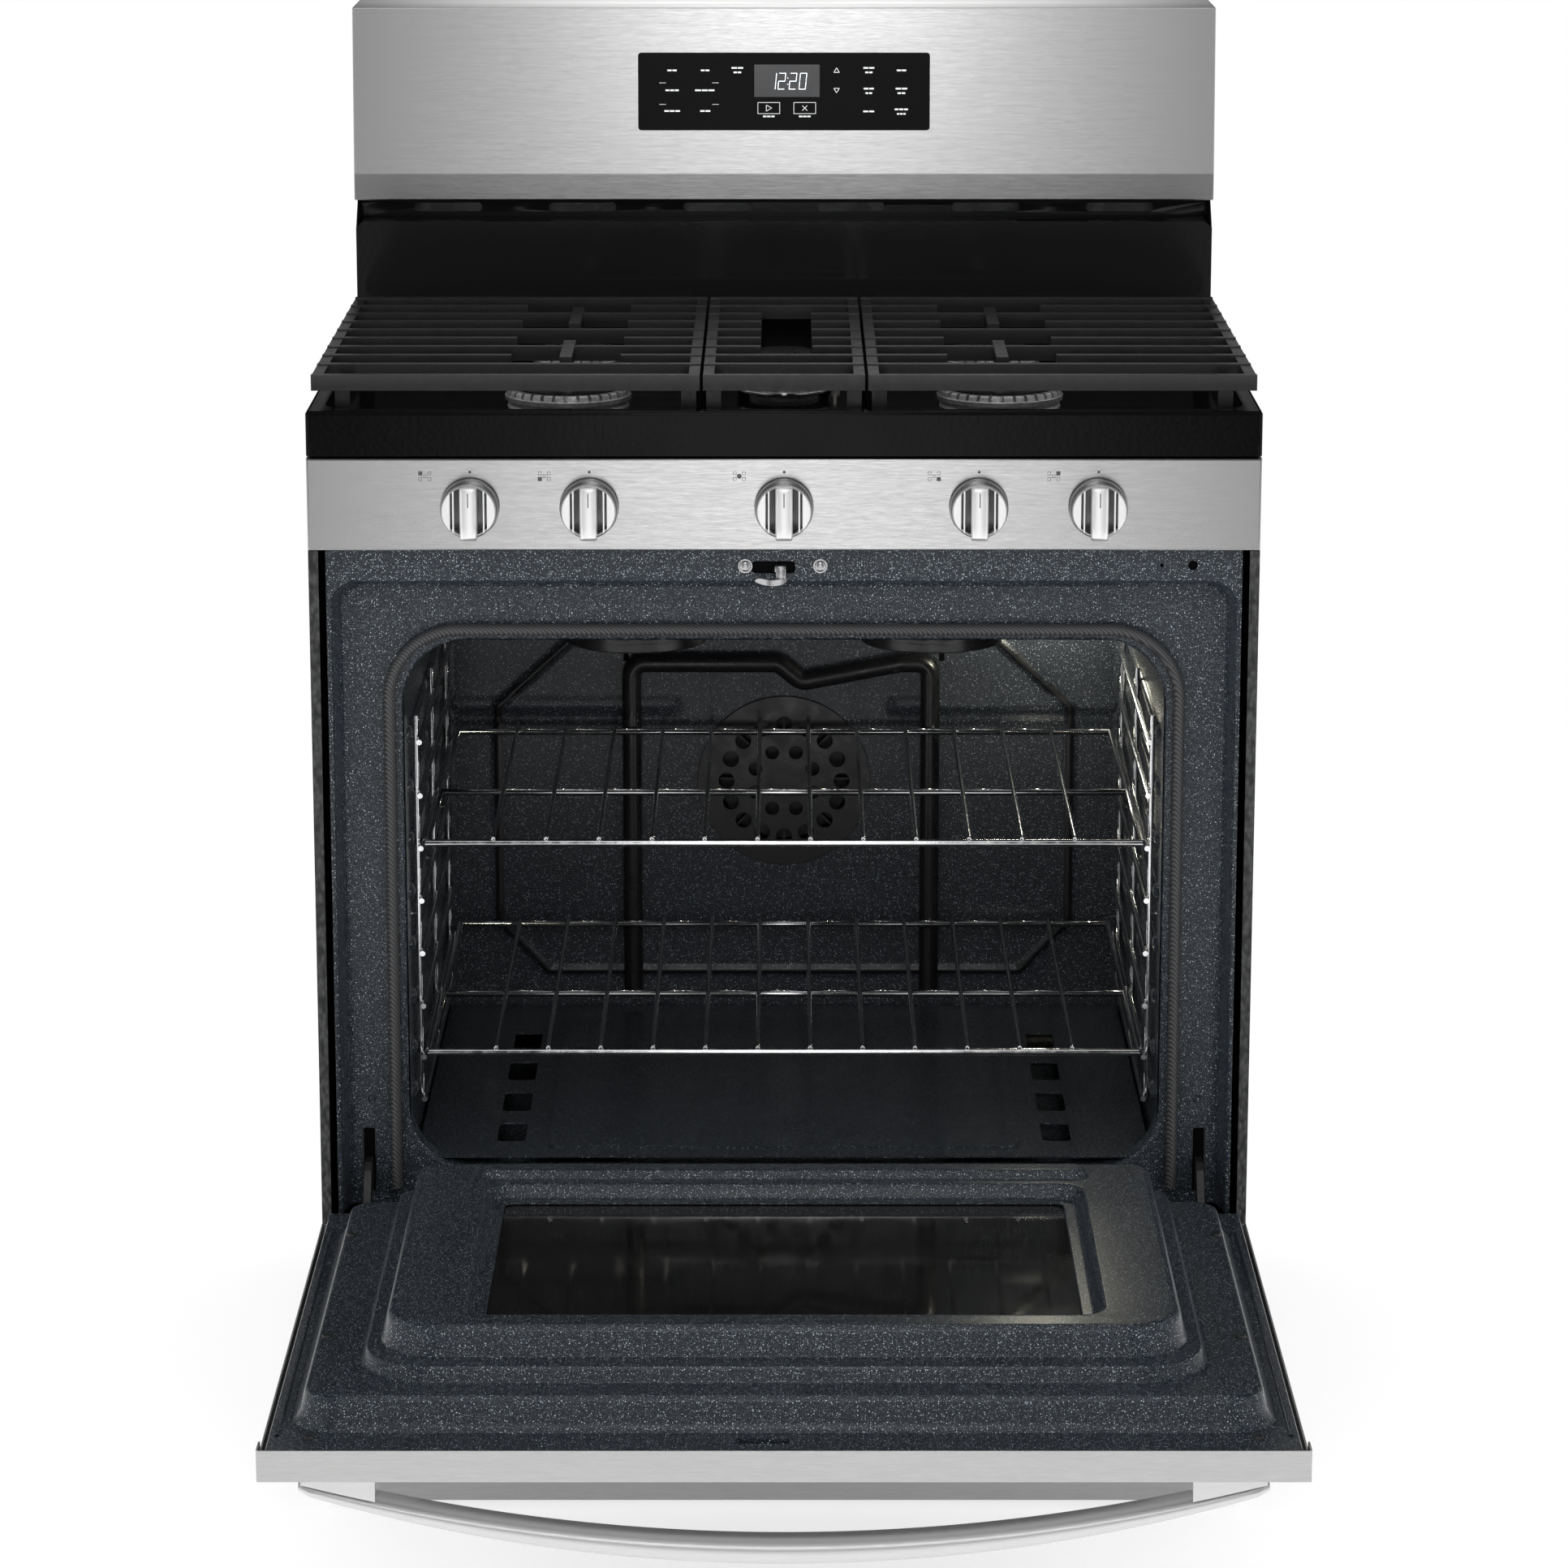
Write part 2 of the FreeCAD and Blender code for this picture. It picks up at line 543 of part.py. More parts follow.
valves = []
for name, x in KNOBS:
    b = new_body("knob_" + name)
    pad(b, "XZ", -8, -3.6, ("circle", x, "knob_level", "knob_radius"))
    pad(b, "XZ", -24, -8, ("circle", x, "knob_level", 22.3))
    xx = ex(x)
    bar = ("round", "%s - 6.8" % xx, "%s + 6.8" % xx, "knob_level - 22", "knob_level + 22", 3.2)
    pad(b, "XZ", -30, -24, bar)
    for s in ("+ 7.2", "- 11.6"):
        pocket(b, "XZ", -24, -13, ("rect", "%s %s" % (xx, s), "%s %s + 4.4" % (xx, s), "knob_level - 24", "knob_level + 24"))
    pocket(b, "XZ", -18, -3.6, ("circle", x, "knob_level", "stem_radius + 0.05"))
    node("knob_" + name, b)
    b = new_body("stem_" + name)
    pad(b, "XZ", -14.5, 50, ("circle", x, "knob_level", "stem_radius"))
    pad(b, "XZ", 27, 31.5, ("circle", x, "knob_level", 7))
    node("stem_" + name, b)
    body_ = fuse([box("%s - 13" % xx, "%s + 13" % xx, 32, 72, "knob_level - 15", "knob_level + 15"),
                  rod("Z", x, 56, "knob_level + 15", 6, 14)])
    valves.append(cut(body_, [rod("Y", x, 32, "knob_level", "stem_radius + 0.05", 20)]))
node("gas_valves", group(valves))
node("manifold_pipe", fuse([rod("X", -335, 82, "knob_level", 10, 670), rod("Y", 335, 82, "knob_level", 10, 18)]))

# Regulator and inlet elbow at the rear; the supply pipe screws into its bore.
reg = fuse([rod("Y", 250, 560, 150, 32, 40), rod("Y", 250, 600, 150, 17, 36)])
node("gas_regulator", cut(reg, [rod("Y", 250, 602, 150, "inlet_radius", 34)]))

# Gland in the rear panel for the supply lead.
gland = fuse([rod("Y", -250, 628, 420, "gland_radius + 7", 8.5), rod("Y", -250, 636.5, 420, "gland_radius + 1.5", 1.5)])
node("cord_gland", cut(gland, [rod("Y", -250, 628, 420, "gland_radius", 10)]))

# ================================================================ oven
# Front frame: a rim, a recess wall and a sealing field with the opening.
b = new_body("oven_front_frame")
U = [("-frame_half", 246), ("-frame_half", "panel_low - 0.5"), ("frame_half", "panel_low - 0.5"), ("frame_half", 246), ("recess_half", 246), ("recess_half", "recess_high"), ("-recess_half", "recess_high"), ("-recess_half", 246)]
pad(b, "XZ", "rim_face", "rim_face + 1.5", ("poly", U))
V_ = [("-recess_half - 1.5", 246), ("-recess_half - 1.5", "recess_high + 1.5"), ("recess_half + 1.5", "recess_high + 1.5"), ("recess_half + 1.5", 246), ("recess_half", 246), ("recess_half", "recess_high"), ("-recess_half", "recess_high"), ("-recess_half", 246)]
pad(b, "XZ", "rim_face + 1.5", "field_face", ("poly", V_))
pad(b, "XZ", "field_face", "field_face + 1.5", ("rect", "-recess_half - 1.5", "recess_half + 1.5", 246, "recess_high + 1.5"),
    ("round", "-open_half", "open_half", "open_low", "open_high", "open_round"))
pocket(b, "XZ", "field_face", "field_face + 1.5", ("rect", 337, 348, 256, 311), ("rect", -348, -337, 256, 311))
pocket(b, "XZ", "rim_face", "rim_face + 1.5", ("rect", -26, 9, 782.5, 792.5), ("circle", 302, 789, 1.5), ("circle", 327, 789, 4))
node("oven_front_frame", b)

# Cavity: a rounded box open at the front, with the fan and lamp holes in its rear wall.
b = new_body("oven_cavity")
pad(b, "XZ", "field_face + 1.5", "cavity_back + 1.2", ("round", "-cavity_half - 1.2", "cavity_half + 1.2", "cavity_low - 1.2", "cavity_high + 1.2", 31.2))
pocket(b, "XZ", "field_face + 1.5", "cavity_back", ("round", "-cavity_half", "cavity_half", "cavity_low", "cavity_high", 30))
pocket(b, "XZ", "cavity_back", "cavity_back + 1.2", ("circle", 0, 496, 72), ("circle", 235, 676, 20))
node("oven_cavity", b)

b = new_body("oven_floor")
pad(b, "XY", "floor_level", "floor_level + 1.5", ("rect", -304, 304, 42, 500))
pad(b, "XY", "floor_level + 1.5", "floor_level + 4", ("round", -196, 196, 62, 470, 14))
slots = []
for s in (-1, 1):
    for y0, y1 in ((84, 136), (170, 226), (262, 318), (354, 410)):
        xa, xb = sorted((s * 216, s * 240))
        slots.append(("round", xa, xb, y0, y1, 5))
pocket(b, "XY", "floor_level", "floor_level + 1.5", *slots)
node("oven_floor", b)

# Gasket: an inverted U on the sealing field.
b = new_body("oven_gasket")
pad(b, "XZ", "field_face - 13", "field_face", ("round", -324.2, 324.2, 200, 736.7, 62), ("round", -314.7, 314.7, 210, 727.2, 52.5))
pocket(b, "XZ", "field_face - 13", "field_face", ("rect", -340, 340, 190, 262))
node("oven_gasket", b)

# Burners inside the oven.
b1 = [rod("Z", s * 124, 214, 694, 60, 7) for s in (-1, 1)] + [rod("Z", s * 124, 214, 701, 12, "cavity_high - 701") for s in (-1, 1)]
b1 += [rod("X", -124, 214, 710, 7, 248), rod("Y", 0, 214, 710, 7, "cavity_back - 214")]
node("broil_burner", fuse(b1))
node("bake_burner", swept("BakeTube", [(-150, 505, 270), (-150, 90, 270), (150, 90, 270), (150, 440, 270)], 6.5, 40))

# Black tube on the rear wall.
node("rear_wall_tube", swept("WallTube", [(-137, 496.4, 300), (-137, 496.4, 606), (-5, 496.4, 606), (16, 496.4, 589), (105, 496.4, 606), (131.5, 496.4, 606), (131.5, 496.4, 300)], 8.5, 12))

# Fan: cover, blade on the motor shaft, motor.
b = new_body("fan_cover")
pad(b, "XZ", "cavity_back - 3", "cavity_back", ("circle", 0, 496, 78))
ring = []
for k in range(16):
    t = 2 * math.pi * k / 16
    ring.append(("circle", 52 * math.cos(t), "%r" % (496 + 52 * math.sin(t)), 7))
for k in range(8):
    t = 2 * math.pi * (k + 0.5) / 8
    ring.append(("circle", 28 * math.cos(t), "%r" % (496 + 28 * math.sin(t)), 6))
pocket(b, "XZ", "cavity_back - 3", "cavity_back", *ring)
node("fan_cover", b)
blades = [rod("Y", 0, 511, 496, 11, 14), rod("Y", 0, 523, 496, 58, 1.5)]
for k in range(8):
    o = doc.addObject("Part::Box", fresh("Vane"))
    o.Length, o.Width, o.Height = 28, 14, 1.5
    o.Placement = Placement(Vector(0, 510 + FRONT, 496), Rotation(Vector(0, 1, 0), 45 * k)).multiply(Placement(Vector(32, 0, -0.75), Rotation()))
    blades.append(o)
fan = fuse(blades)
node("fan_blade", cut(fan, [rod("Y", 0, 505, 496, 4.05, 30)]))
node("fan_motor", fuse([rod("Y", 0, 508, 496, 4, 22), rod("Y", 0, 530, 496, 34, 50), box(-60, 60, 560, 562, 466, 526)]))

lamp = fuse([rod("Y", 235, 498, 676, 27, 7), rod("Y", 235, 505, 676, 19, 30)])
node("oven_lamp", lamp)

# Insulation blanket round the cavity.
wrap = cut(box(-345, 345, 46, 524, 246, 760), [box("-cavity_half - 1.4", "cavity_half + 1.4", 40, "cavity_back + 1.4", "cavity_low - 1.4", "cavity_high + 1.4"),
      rod("Y", 0, 500, 496, 80, 40), rod("Y", 235, 500, 676, 22, 40), rod("Y", -150, 500, 270, 8, 40), box(-353, -331, 40, 80, 240, 320), box(331, 353, 40, 80, 240, 320)])
node("insulation_wrap", wrap)

# Rack supports: a wire ladder on each side wall.
ladders = []
levels = [331, 367, 411, 456, 501, 545.5, 590, 635]
for s in (-1, 1):
    bits = []
    for z in levels:
        bits.append(rod("Y", s * 298.7, 74, z - 3 - 0.5 - 2.3, 2.3, 410))
    for y in (92, 280, 468):
        bits.append(rod("Z", s * 302.6, y, 318, 2.3, 330))
        for z in (330, 480, 630):
            xa = min(s * 302.6, s * 308)
            bits.append(rod("X", xa, y, z, 1.8, 5.4))
    ladders.append(fuse(bits))
node("rack_supports", group(ladders))


def rack(level):
    bits = []
    for y in (70, 250, 484):
        bits.append(rod("X", "-rack_half", y, level, "rack_rail", "2 * rack_half"))
    for s in ("-rack_half", "rack_half"):
        bits.append(rod("Y", s, 70, level, "rack_rail", 414))
        for y in (70, 484):
            bits.append(ball(s, y, level, "rack_rail"))
    for k in range(12):
        x = "(%s) * rack_pitch" % (k - 5.5)
        bits.append(rod("Y", x, 70, level + " + rack_rail + rack_wire - 0.8", "rack_wire", 414))
    return fuse(bits)


node("upper_rack", rack("rack_upper"))
node("lower_rack", rack("rack_lower"))

# Door latch: a housing behind the rim and a sliding hook.
node("latch_housing", cut(box(-44, 44, 11.5, 34, 779, 799), [box(-30, 12, 11.5, 34, 781.5, 793.5)]))
node("latch_hook", fuse([box(-10, 2, 1, 30, 784, 791), box(-10, 2, 1, 4, 775, 786), box(-10, 2, -2.2, 1.5, 775, 781), box(-24, 2, -6, -2.2, 775, 781)]))

# ================================================================ door hinges, fixed side
claws, recs = [], []
for s in (-1, 1):
    xa = 339.5 if s > 0 else -345.5
    b = new_body("claw_%s" % ("right" if s > 0 else "left"))
    pad(b, "YZ", xa, xa + 6, ("poly", [(-6, 244), (-6, 253), (4, 262), (16, 281), (26, 285), (64, 285), (64, 266), (40, 266), (22, 262), (10, 250), (5, 244)]))
    claws.append(fuse([b, rod("X", s * 342.5 - 9.5, -1, 249, 4, 19)]))
    xa = 333 if s > 0 else -352
    recs.append(cut(box(xa, xa + 19, 40, 72, 250, 315), [box(xa + 5, xa + 14, 40, 68, 255, 311)]))
node("hinge_claws", group(claws + recs))

# ================================================================ door, drawn lying open
b = new_body("door_skin")
pad(b, "XY", "door_low", 241, ("rect", "-half_width", W, "door_edge", "door_end"))
pocket(b, "XY", "door_low + 1.5", 241, ("rect", "-half_width + 1.5", "half_width - 1.5", "door_edge + 1.5", "door_end - 1.5"))
pad(b, "XY", 241, "door_flange", ("rect", "-half_width", W, "door_edge", "door_edge + 1.5"))
pad(b, "XY", 241, "door_flange + 0.5", ("rect", "half_width - 1.5", W, "door_edge", "door_edge + 18"))
pad(b, "XY", 241, "door_flange + 0.5", ("rect", "-half_width", "-half_width + 1.5", "door_edge", "door_edge + 18"))
pocket(b, "XY", "door_low", "door_low + 1.5", ("round", -262, 262, -430, -105, 10))
node("door_skin", b)

b = new_body("door_outer_glass")
pad(b, "XY", "door_low + 1.5", "door_low + 5.5", ("round", -280, 280, -448, -88, 6))
node("door_outer_glass", b)

b = new_body("door_liner")
pad(b, "XY", "door_flange - 1.5", "door_flange", ("rect", -372.5, 372.5, "door_edge + 1.6", "door_end - 1"))
pad(b, "XY", "door_flange", "step_c", ("round", -353, 353, -509, "plug_end", 20))
pad(b, "XY", "step_c", "step_b", ("round", -312, 312, -476.5, "plug_end", 50))
pad(b, "XY", "step_b", "step_a", ("round", -299, 299, -457, "plug_end", 45))
pad(b, "XY", "step_a", "step_a + 6.4", ("round", -242, 242, -96, -72, 6))
pocket(b, "XY", "door_flange - 1.5", "step_c - 1.5", ("round", -351.5, 351.5, -507.5, "plug_end - 1.5", 18.5))
pocket(b, "XY", "step_c - 1.5", "step_b - 1.5", ("round", -310.5, 310.5, -475, "plug_end - 1.5", 48.5))
pocket(b, "XY", "step_b - 1.5", 296.5, ("round", -297.5, 297.5, -455.5, "plug_end - 1.5", 43.5))
pocket(b, "XY", 296.5, "step_a - 1.5", ("round", -297.5, 297.5, -455.5, "plug_end - 1.5", 43.5), ("rect", -238, 238, -424, -109))
pocket(b, "XY", 299, "step_a", ("round", -235, 235, -421, -112, 16))
pocket(b, "XY", 296.5, 299, ("round", "-glass_half", "glass_half", -409, -124, 8))
pocket(b, "XY", "door_flange - 1.5", "door_flange", ("rect", 332.5, 352.5, "plug_end", "door_end + 1"), ("rect", -352.5, -332.5, "plug_end", "door_end + 1"),
       ("rect", -35, 4, -535.4, -524.6))
pad(b, "XY", "door_low + 1.5", "door_flange - 1.5", ("rect", 371, 372.5, "door_edge + 1.6", "door_end - 2"))
pad(b, "XY", "door_low + 1.5", "door_flange - 1.5", ("rect", -372.5, -371, "door_edge + 1.6", "door_end - 2"))
node("door_liner", b)

b = new_body("door_inner_glass")
pad(b, "XY", 292.5, 296.5, ("round", -232, 232, -419, -114, 6))
node("door_inner_glass", b)

b = new_body("door_glass_frame")
pad(b, "XY", "door_low + 5.5", 292.5, ("round", -246, 246, -432, -100, 8), ("round", -226, 226, -414, -120, 6))
node("door_glass_frame", b)

hinges = []
for s in (-1, 1):
    for off in (-6, 6):
        xa = s * 342.5 + off - 2
        cheek = fuse([rod("X", xa, "axis_y", "axis_z", 6.8, 4), box(xa, xa + 4, -110, "axis_y - 3", "door_low + 4", 247)])
        hinges.append(cut(cheek, [rod("X", xa - 1, "axis_y", "axis_z", 4.05, 6)]))
node("door_hinge_bodies", group(hinges))

# Handle: a bowed bar on two end mounts.
R0 = ((NUM["handle_tip"] - NUM["handle_mid"]) ** 2 + NUM["handle_half"] ** 2) / (2 * (NUM["handle_tip"] - NUM["handle_mid"]))
hh, ht = NUM["handle_half"], NUM["handle_thick"]
y0 = NUM["handle_front"] + FRONT
lo = Part.Arc(Vector(-hh, y0, NUM["handle_tip"]), Vector(0, y0, NUM["handle_mid"]), Vector(hh, y0, NUM["handle_tip"])).toShape()
hi = Part.Arc(Vector(hh, y0, NUM["handle_tip"] + ht), Vector(0, y0, NUM["handle_mid"] + NUM["handle_belly"]), Vector(-hh, y0, NUM["handle_tip"] + ht)).toShape()
e1 = Part.LineSegment(Vector(hh, y0, NUM["handle_tip"]), Vector(hh, y0, NUM["handle_tip"] + ht)).toShape()
e2 = Part.LineSegment(Vector(-hh, y0, NUM["handle_tip"] + ht), Vector(-hh, y0, NUM["handle_tip"])).toShape()
solid = Part.Face(Part.Wire([lo, e1, hi, e2])).extrude(Vector(0, NUM["handle_back"] - NUM["handle_front"], 0))
edges = [e for e in solid.Edges if e.BoundBox.YLength < 0.01 and e.BoundBox.XLength > 100]
bar = doc.addObject("Part::Feature", "HandleBar")
bar.Shape = solid.makeFillet(4.5, edges)
node("handle_bar", bar)
mounts = []
for s in (-1, 1):
    b = new_body("mount_%s" % ("right" if s > 0 else "left"))
    pad(b, "XZ", "handle_front + 1", "handle_back - 1", ("poly", [(s * 297, "door_low"), (s * 351, "door_low"), (s * 351, 209), (s * 297, 195.5)]))
    mounts.append(cut(b, bar))
node("handle_mounts", group(mounts))

# ================================================================ storage drawer
b = new_body("drawer_front")
pad(b, "XZ", "drawer_face", -2, ("rect", "-half_width", W, "drawer_low", "drawer_high"))
pocket(b, "XZ", "drawer_face + 1.5", -2, ("rect", "-half_width + 1.5", "half_width - 1.5", "drawer_low + 1.5", "drawer_high - 1.5"))
round_edges(b, 1.4, lambda q: q.YMax < NUM["drawer_face"] + FRONT + 0.01 and q.XLength > 500)
node("drawer_front", b)
b = new_body("drawer_box")
pad(b, "XY", 24, 205, ("rect", "-drawer_half", "drawer_half", -2, "drawer_deep"))
pocket(b, "XY", 25.5, 205, ("rect", "-drawer_half + 1.5", "drawer_half - 1.5", -0.5, "drawer_deep - 1.5"))
node("drawer_box", fuse([b, box("drawer_half", "drawer_half + 6", 6, "drawer_deep", 100, 120), box("-drawer_half - 6", "-drawer_half", 6, "drawer_deep", 100, 120)]))
rails = []
for s in (-1, 1):
    c = [cut(box(365, 378, 8, 600, 94, 126), [box(364, 375.5, 8, 600, 97, 123)])]
    rails.append(c[0] if s > 0 else mirrored(c[0]))
node("drawer_rails", group(rails))

# ================================================================ checks and export
doc.recompute()
for o in doc.Objects:
    if "Invalid" in o.State or "Error" in o.State:
        raise SystemExit("failed object %s (%s): %s" % (o.Name, o.Label, o.State))
os.makedirs("parts", exist_ok=True)
for f in os.listdir("parts"):
    if f.endswith(".step"):
        os.remove(os.path.join("parts", f))
for label, obj in NODES.items():
    s = obj.Shape
    if s.isNull() or not s.isValid() or not s.Solids:
        raise SystemExit("bad shape " + label)
    if s.Volume <= 0:
        raise SystemExit("inside out " + label)
for label, obj in NODES.items():
    obj.Shape.exportStep("parts/%s.step" % label)
    bb = obj.Shape.BoundBox
    print("%-24s solids %2d  vol %10.1f  x %7.1f %7.1f  y %7.1f %7.1f  z %7.1f %7.1f" % (
        label, len(obj.Shape.Solids), obj.Shape.Volume, bb.XMin, bb.XMax, bb.YMin, bb.YMax, bb.ZMin, bb.ZMax))
print(len(NODES), "nodes")
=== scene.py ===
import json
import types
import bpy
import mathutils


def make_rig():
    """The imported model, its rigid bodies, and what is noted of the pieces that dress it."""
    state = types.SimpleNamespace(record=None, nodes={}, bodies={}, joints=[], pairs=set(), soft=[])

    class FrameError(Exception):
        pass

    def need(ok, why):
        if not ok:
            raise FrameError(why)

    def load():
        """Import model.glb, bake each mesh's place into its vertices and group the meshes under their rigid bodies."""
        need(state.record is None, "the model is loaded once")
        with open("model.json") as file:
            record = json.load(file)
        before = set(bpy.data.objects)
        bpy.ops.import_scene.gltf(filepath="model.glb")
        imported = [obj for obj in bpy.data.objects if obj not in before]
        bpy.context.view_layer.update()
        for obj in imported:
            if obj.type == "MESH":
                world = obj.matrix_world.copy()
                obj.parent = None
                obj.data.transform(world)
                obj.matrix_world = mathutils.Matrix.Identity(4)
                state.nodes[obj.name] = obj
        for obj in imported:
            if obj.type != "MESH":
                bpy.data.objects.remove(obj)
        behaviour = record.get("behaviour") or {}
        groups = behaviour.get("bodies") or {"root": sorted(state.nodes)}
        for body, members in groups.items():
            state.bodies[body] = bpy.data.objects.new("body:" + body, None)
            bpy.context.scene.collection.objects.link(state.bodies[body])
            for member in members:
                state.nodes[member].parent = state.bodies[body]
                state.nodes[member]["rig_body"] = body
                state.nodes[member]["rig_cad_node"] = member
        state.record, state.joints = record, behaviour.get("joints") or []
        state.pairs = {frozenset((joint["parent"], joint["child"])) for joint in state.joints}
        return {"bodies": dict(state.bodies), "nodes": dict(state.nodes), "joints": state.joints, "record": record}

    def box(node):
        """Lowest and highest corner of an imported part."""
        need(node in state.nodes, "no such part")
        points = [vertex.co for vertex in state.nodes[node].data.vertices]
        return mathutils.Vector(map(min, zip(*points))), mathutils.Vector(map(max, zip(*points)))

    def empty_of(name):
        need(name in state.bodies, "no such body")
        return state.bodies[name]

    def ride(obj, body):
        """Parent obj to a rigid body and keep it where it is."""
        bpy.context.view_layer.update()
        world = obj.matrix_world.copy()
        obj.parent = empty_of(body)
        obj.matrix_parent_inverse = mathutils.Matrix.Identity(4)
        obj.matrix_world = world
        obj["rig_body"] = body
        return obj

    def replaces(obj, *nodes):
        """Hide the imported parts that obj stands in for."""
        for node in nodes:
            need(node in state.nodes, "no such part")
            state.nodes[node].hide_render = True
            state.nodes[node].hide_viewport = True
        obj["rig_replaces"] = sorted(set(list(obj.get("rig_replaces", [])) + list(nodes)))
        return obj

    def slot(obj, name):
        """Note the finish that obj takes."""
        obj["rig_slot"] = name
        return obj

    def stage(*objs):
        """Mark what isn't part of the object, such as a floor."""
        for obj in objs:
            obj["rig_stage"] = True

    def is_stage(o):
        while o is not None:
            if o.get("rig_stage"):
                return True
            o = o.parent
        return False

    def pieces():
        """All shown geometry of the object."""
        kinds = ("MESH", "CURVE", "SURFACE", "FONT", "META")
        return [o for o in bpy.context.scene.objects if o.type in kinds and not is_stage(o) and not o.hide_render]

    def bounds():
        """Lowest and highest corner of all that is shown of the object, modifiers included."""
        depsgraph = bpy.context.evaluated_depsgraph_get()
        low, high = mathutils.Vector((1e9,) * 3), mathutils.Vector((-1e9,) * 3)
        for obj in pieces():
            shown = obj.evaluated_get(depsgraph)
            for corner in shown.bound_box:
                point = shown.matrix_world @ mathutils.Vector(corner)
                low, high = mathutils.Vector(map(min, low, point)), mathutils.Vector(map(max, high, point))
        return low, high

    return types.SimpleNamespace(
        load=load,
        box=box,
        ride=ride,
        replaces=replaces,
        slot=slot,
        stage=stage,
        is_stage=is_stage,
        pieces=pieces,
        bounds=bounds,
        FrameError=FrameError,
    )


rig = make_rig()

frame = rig.load()

import bpy, bmesh, math, json, random
from mathutils import Vector, Matrix

CAD_BOX = [list(v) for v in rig.bounds()]
random.seed(7)
NODES = frame["nodes"]
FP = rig.box("control_panel")[0][1]          # front plane of the range, in metres


def P(x, y, z):
    """A point given in millimetres, with y counted from the front plane."""
    return Vector((x / 1000.0, FP + y / 1000.0, z / 1000.0))


# ------------------------------------------------------------------ camera
cam = bpy.data.cameras.new("camera")
cam_ob = bpy.data.objects.new("camera", cam)
bpy.context.scene.collection.objects.link(cam_ob)
cam.sensor_fit = "HORIZONTAL"
cam.sensor_width = 36.0
cam.lens = 6391.7 / 1932 * 36.0
cam.clip_end = 60
cam_ob.location = (0.0, FP - 4.0644, 1.5749)
cam_ob.rotation_euler = (math.radians(90 - 13.33), 0, 0)
bpy.context.scene.camera = cam_ob
bpy.context.scene.view_settings.view_transform = "Standard"
bpy.context.scene.view_settings.look = "None"


# ------------------------------------------------------------------ node helpers
class Mat:
    def __init__(self, name):
        self.m = bpy.data.materials.new(name)
        self.m.use_nodes = True
        self.t = self.m.node_tree
        self.t.nodes.clear()
        self.out = self.t.nodes.new("ShaderNodeOutputMaterial")
        self.b = self.t.nodes.new("ShaderNodeBsdfPrincipled")
        self.t.links.new(self.b.outputs[0], self.out.inputs[0])
        self.coord = self.t.nodes.new("ShaderNodeTexCoord")

    def set(self, **kw):
        for k, v in kw.items():
            self.b.inputs[k.replace("_", " ")].default_value = v
        return self

    def n(self, kind, **kw):
        node = self.t.nodes.new(kind)
        for k, v in kw.items():
            setattr(node, k, v)
        return node

    def link(self, a, b):
        self.t.links.new(a, b)

    def mapping(self, scale, rot=(0, 0, 0), src=None):
        mp = self.n("ShaderNodeMapping")
        mp.inputs["Scale"].default_value = scale
        mp.inputs["Rotation"].default_value = rot
        self.link(src or self.coord.outputs["Object"], mp.inputs["Vector"])
        return mp.outputs[0]

    def noise(self, scale, detail=2.0, vec=None, rough=0.5, distortion=0.0):
        nz = self.n("ShaderNodeTexNoise")
        nz.inputs["Scale"].default_value = scale
        nz.inputs["Detail"].default_value = detail
        nz.inputs["Roughness"].default_value = rough
        nz.inputs["Distortion"].default_value = distortion
        self.link(vec or self.coord.outputs["Object"], nz.inputs["Vector"])
        return nz.outputs["Fac"]

    def voronoi(self, scale, vec=None, feature="F1", randomness=1.0):
        v = self.n("ShaderNodeTexVoronoi", feature=feature)
        v.inputs["Scale"].default_value = scale
        v.inputs["Randomness"].default_value = randomness
        self.link(vec or self.coord.outputs["Object"], v.inputs["Vector"])
        return v

    def ramp(self, fac, stops):
        r = self.n("ShaderNodeValToRGB")
        while len(r.color_ramp.elements) < len(stops):
            r.color_ramp.elements.new(0.5)
        for e, (p, c) in zip(r.color_ramp.elements, stops):
            e.position = p
            e.color = tuple(c) + (1.0,) if len(c) == 3 else c
        self.link(fac, r.inputs[0])
        return r.outputs[0]

    def rng(self, fac, a, b, c, d):
        r = self.n("ShaderNodeMapRange")
        for i, v in zip((1, 2, 3, 4), (a, b, c, d)):
            r.inputs[i].default_value = v
        self.link(fac, r.inputs[0])
        return r.outputs[0]

    def math(self, op, a, b=None):
        m = self.n("ShaderNodeMath", operation=op)
        for i, v in enumerate((a, b)):
            if v is None:
                continue
            if isinstance(v, (int, float)):
                m.inputs[i].default_value = v
            else:
                self.link(v, m.inputs[i])
        return m.outputs[0]

    def mix(self, fac, a, b):
        m = self.n("ShaderNodeMix", data_type="RGBA")
        for sock, v in ((m.inputs[0], fac), (m.inputs[6], a), (m.inputs[7], b)):
            if isinstance(v, (int, float)):
                sock.default_value = v
            elif isinstance(v, (tuple, list)):
                sock.default_value = tuple(v) + (1.0,) if len(v) == 3 else tuple(v)
            else:
                self.link(v, sock)
        return m.outputs[2]

    def bump(self, height, strength, distance, prev=None):
        b = self.n("ShaderNodeBump")
        b.inputs["Strength"].default_value = strength
        b.inputs["Distance"].default_value = distance
        self.link(height, b.inputs["Height"])
        if prev is not None:
            self.link(prev, b.inputs["Normal"])
        return b.outputs[0]

    def color(self, sock):
        self.link(sock, self.b.inputs["Base Color"])
        return self

    def rough(self, sock):
        self.link(sock, self.b.inputs["Roughness"])
        return self

    def normal(self, sock):
        self.link(sock, self.b.inputs["Normal"])
        return self


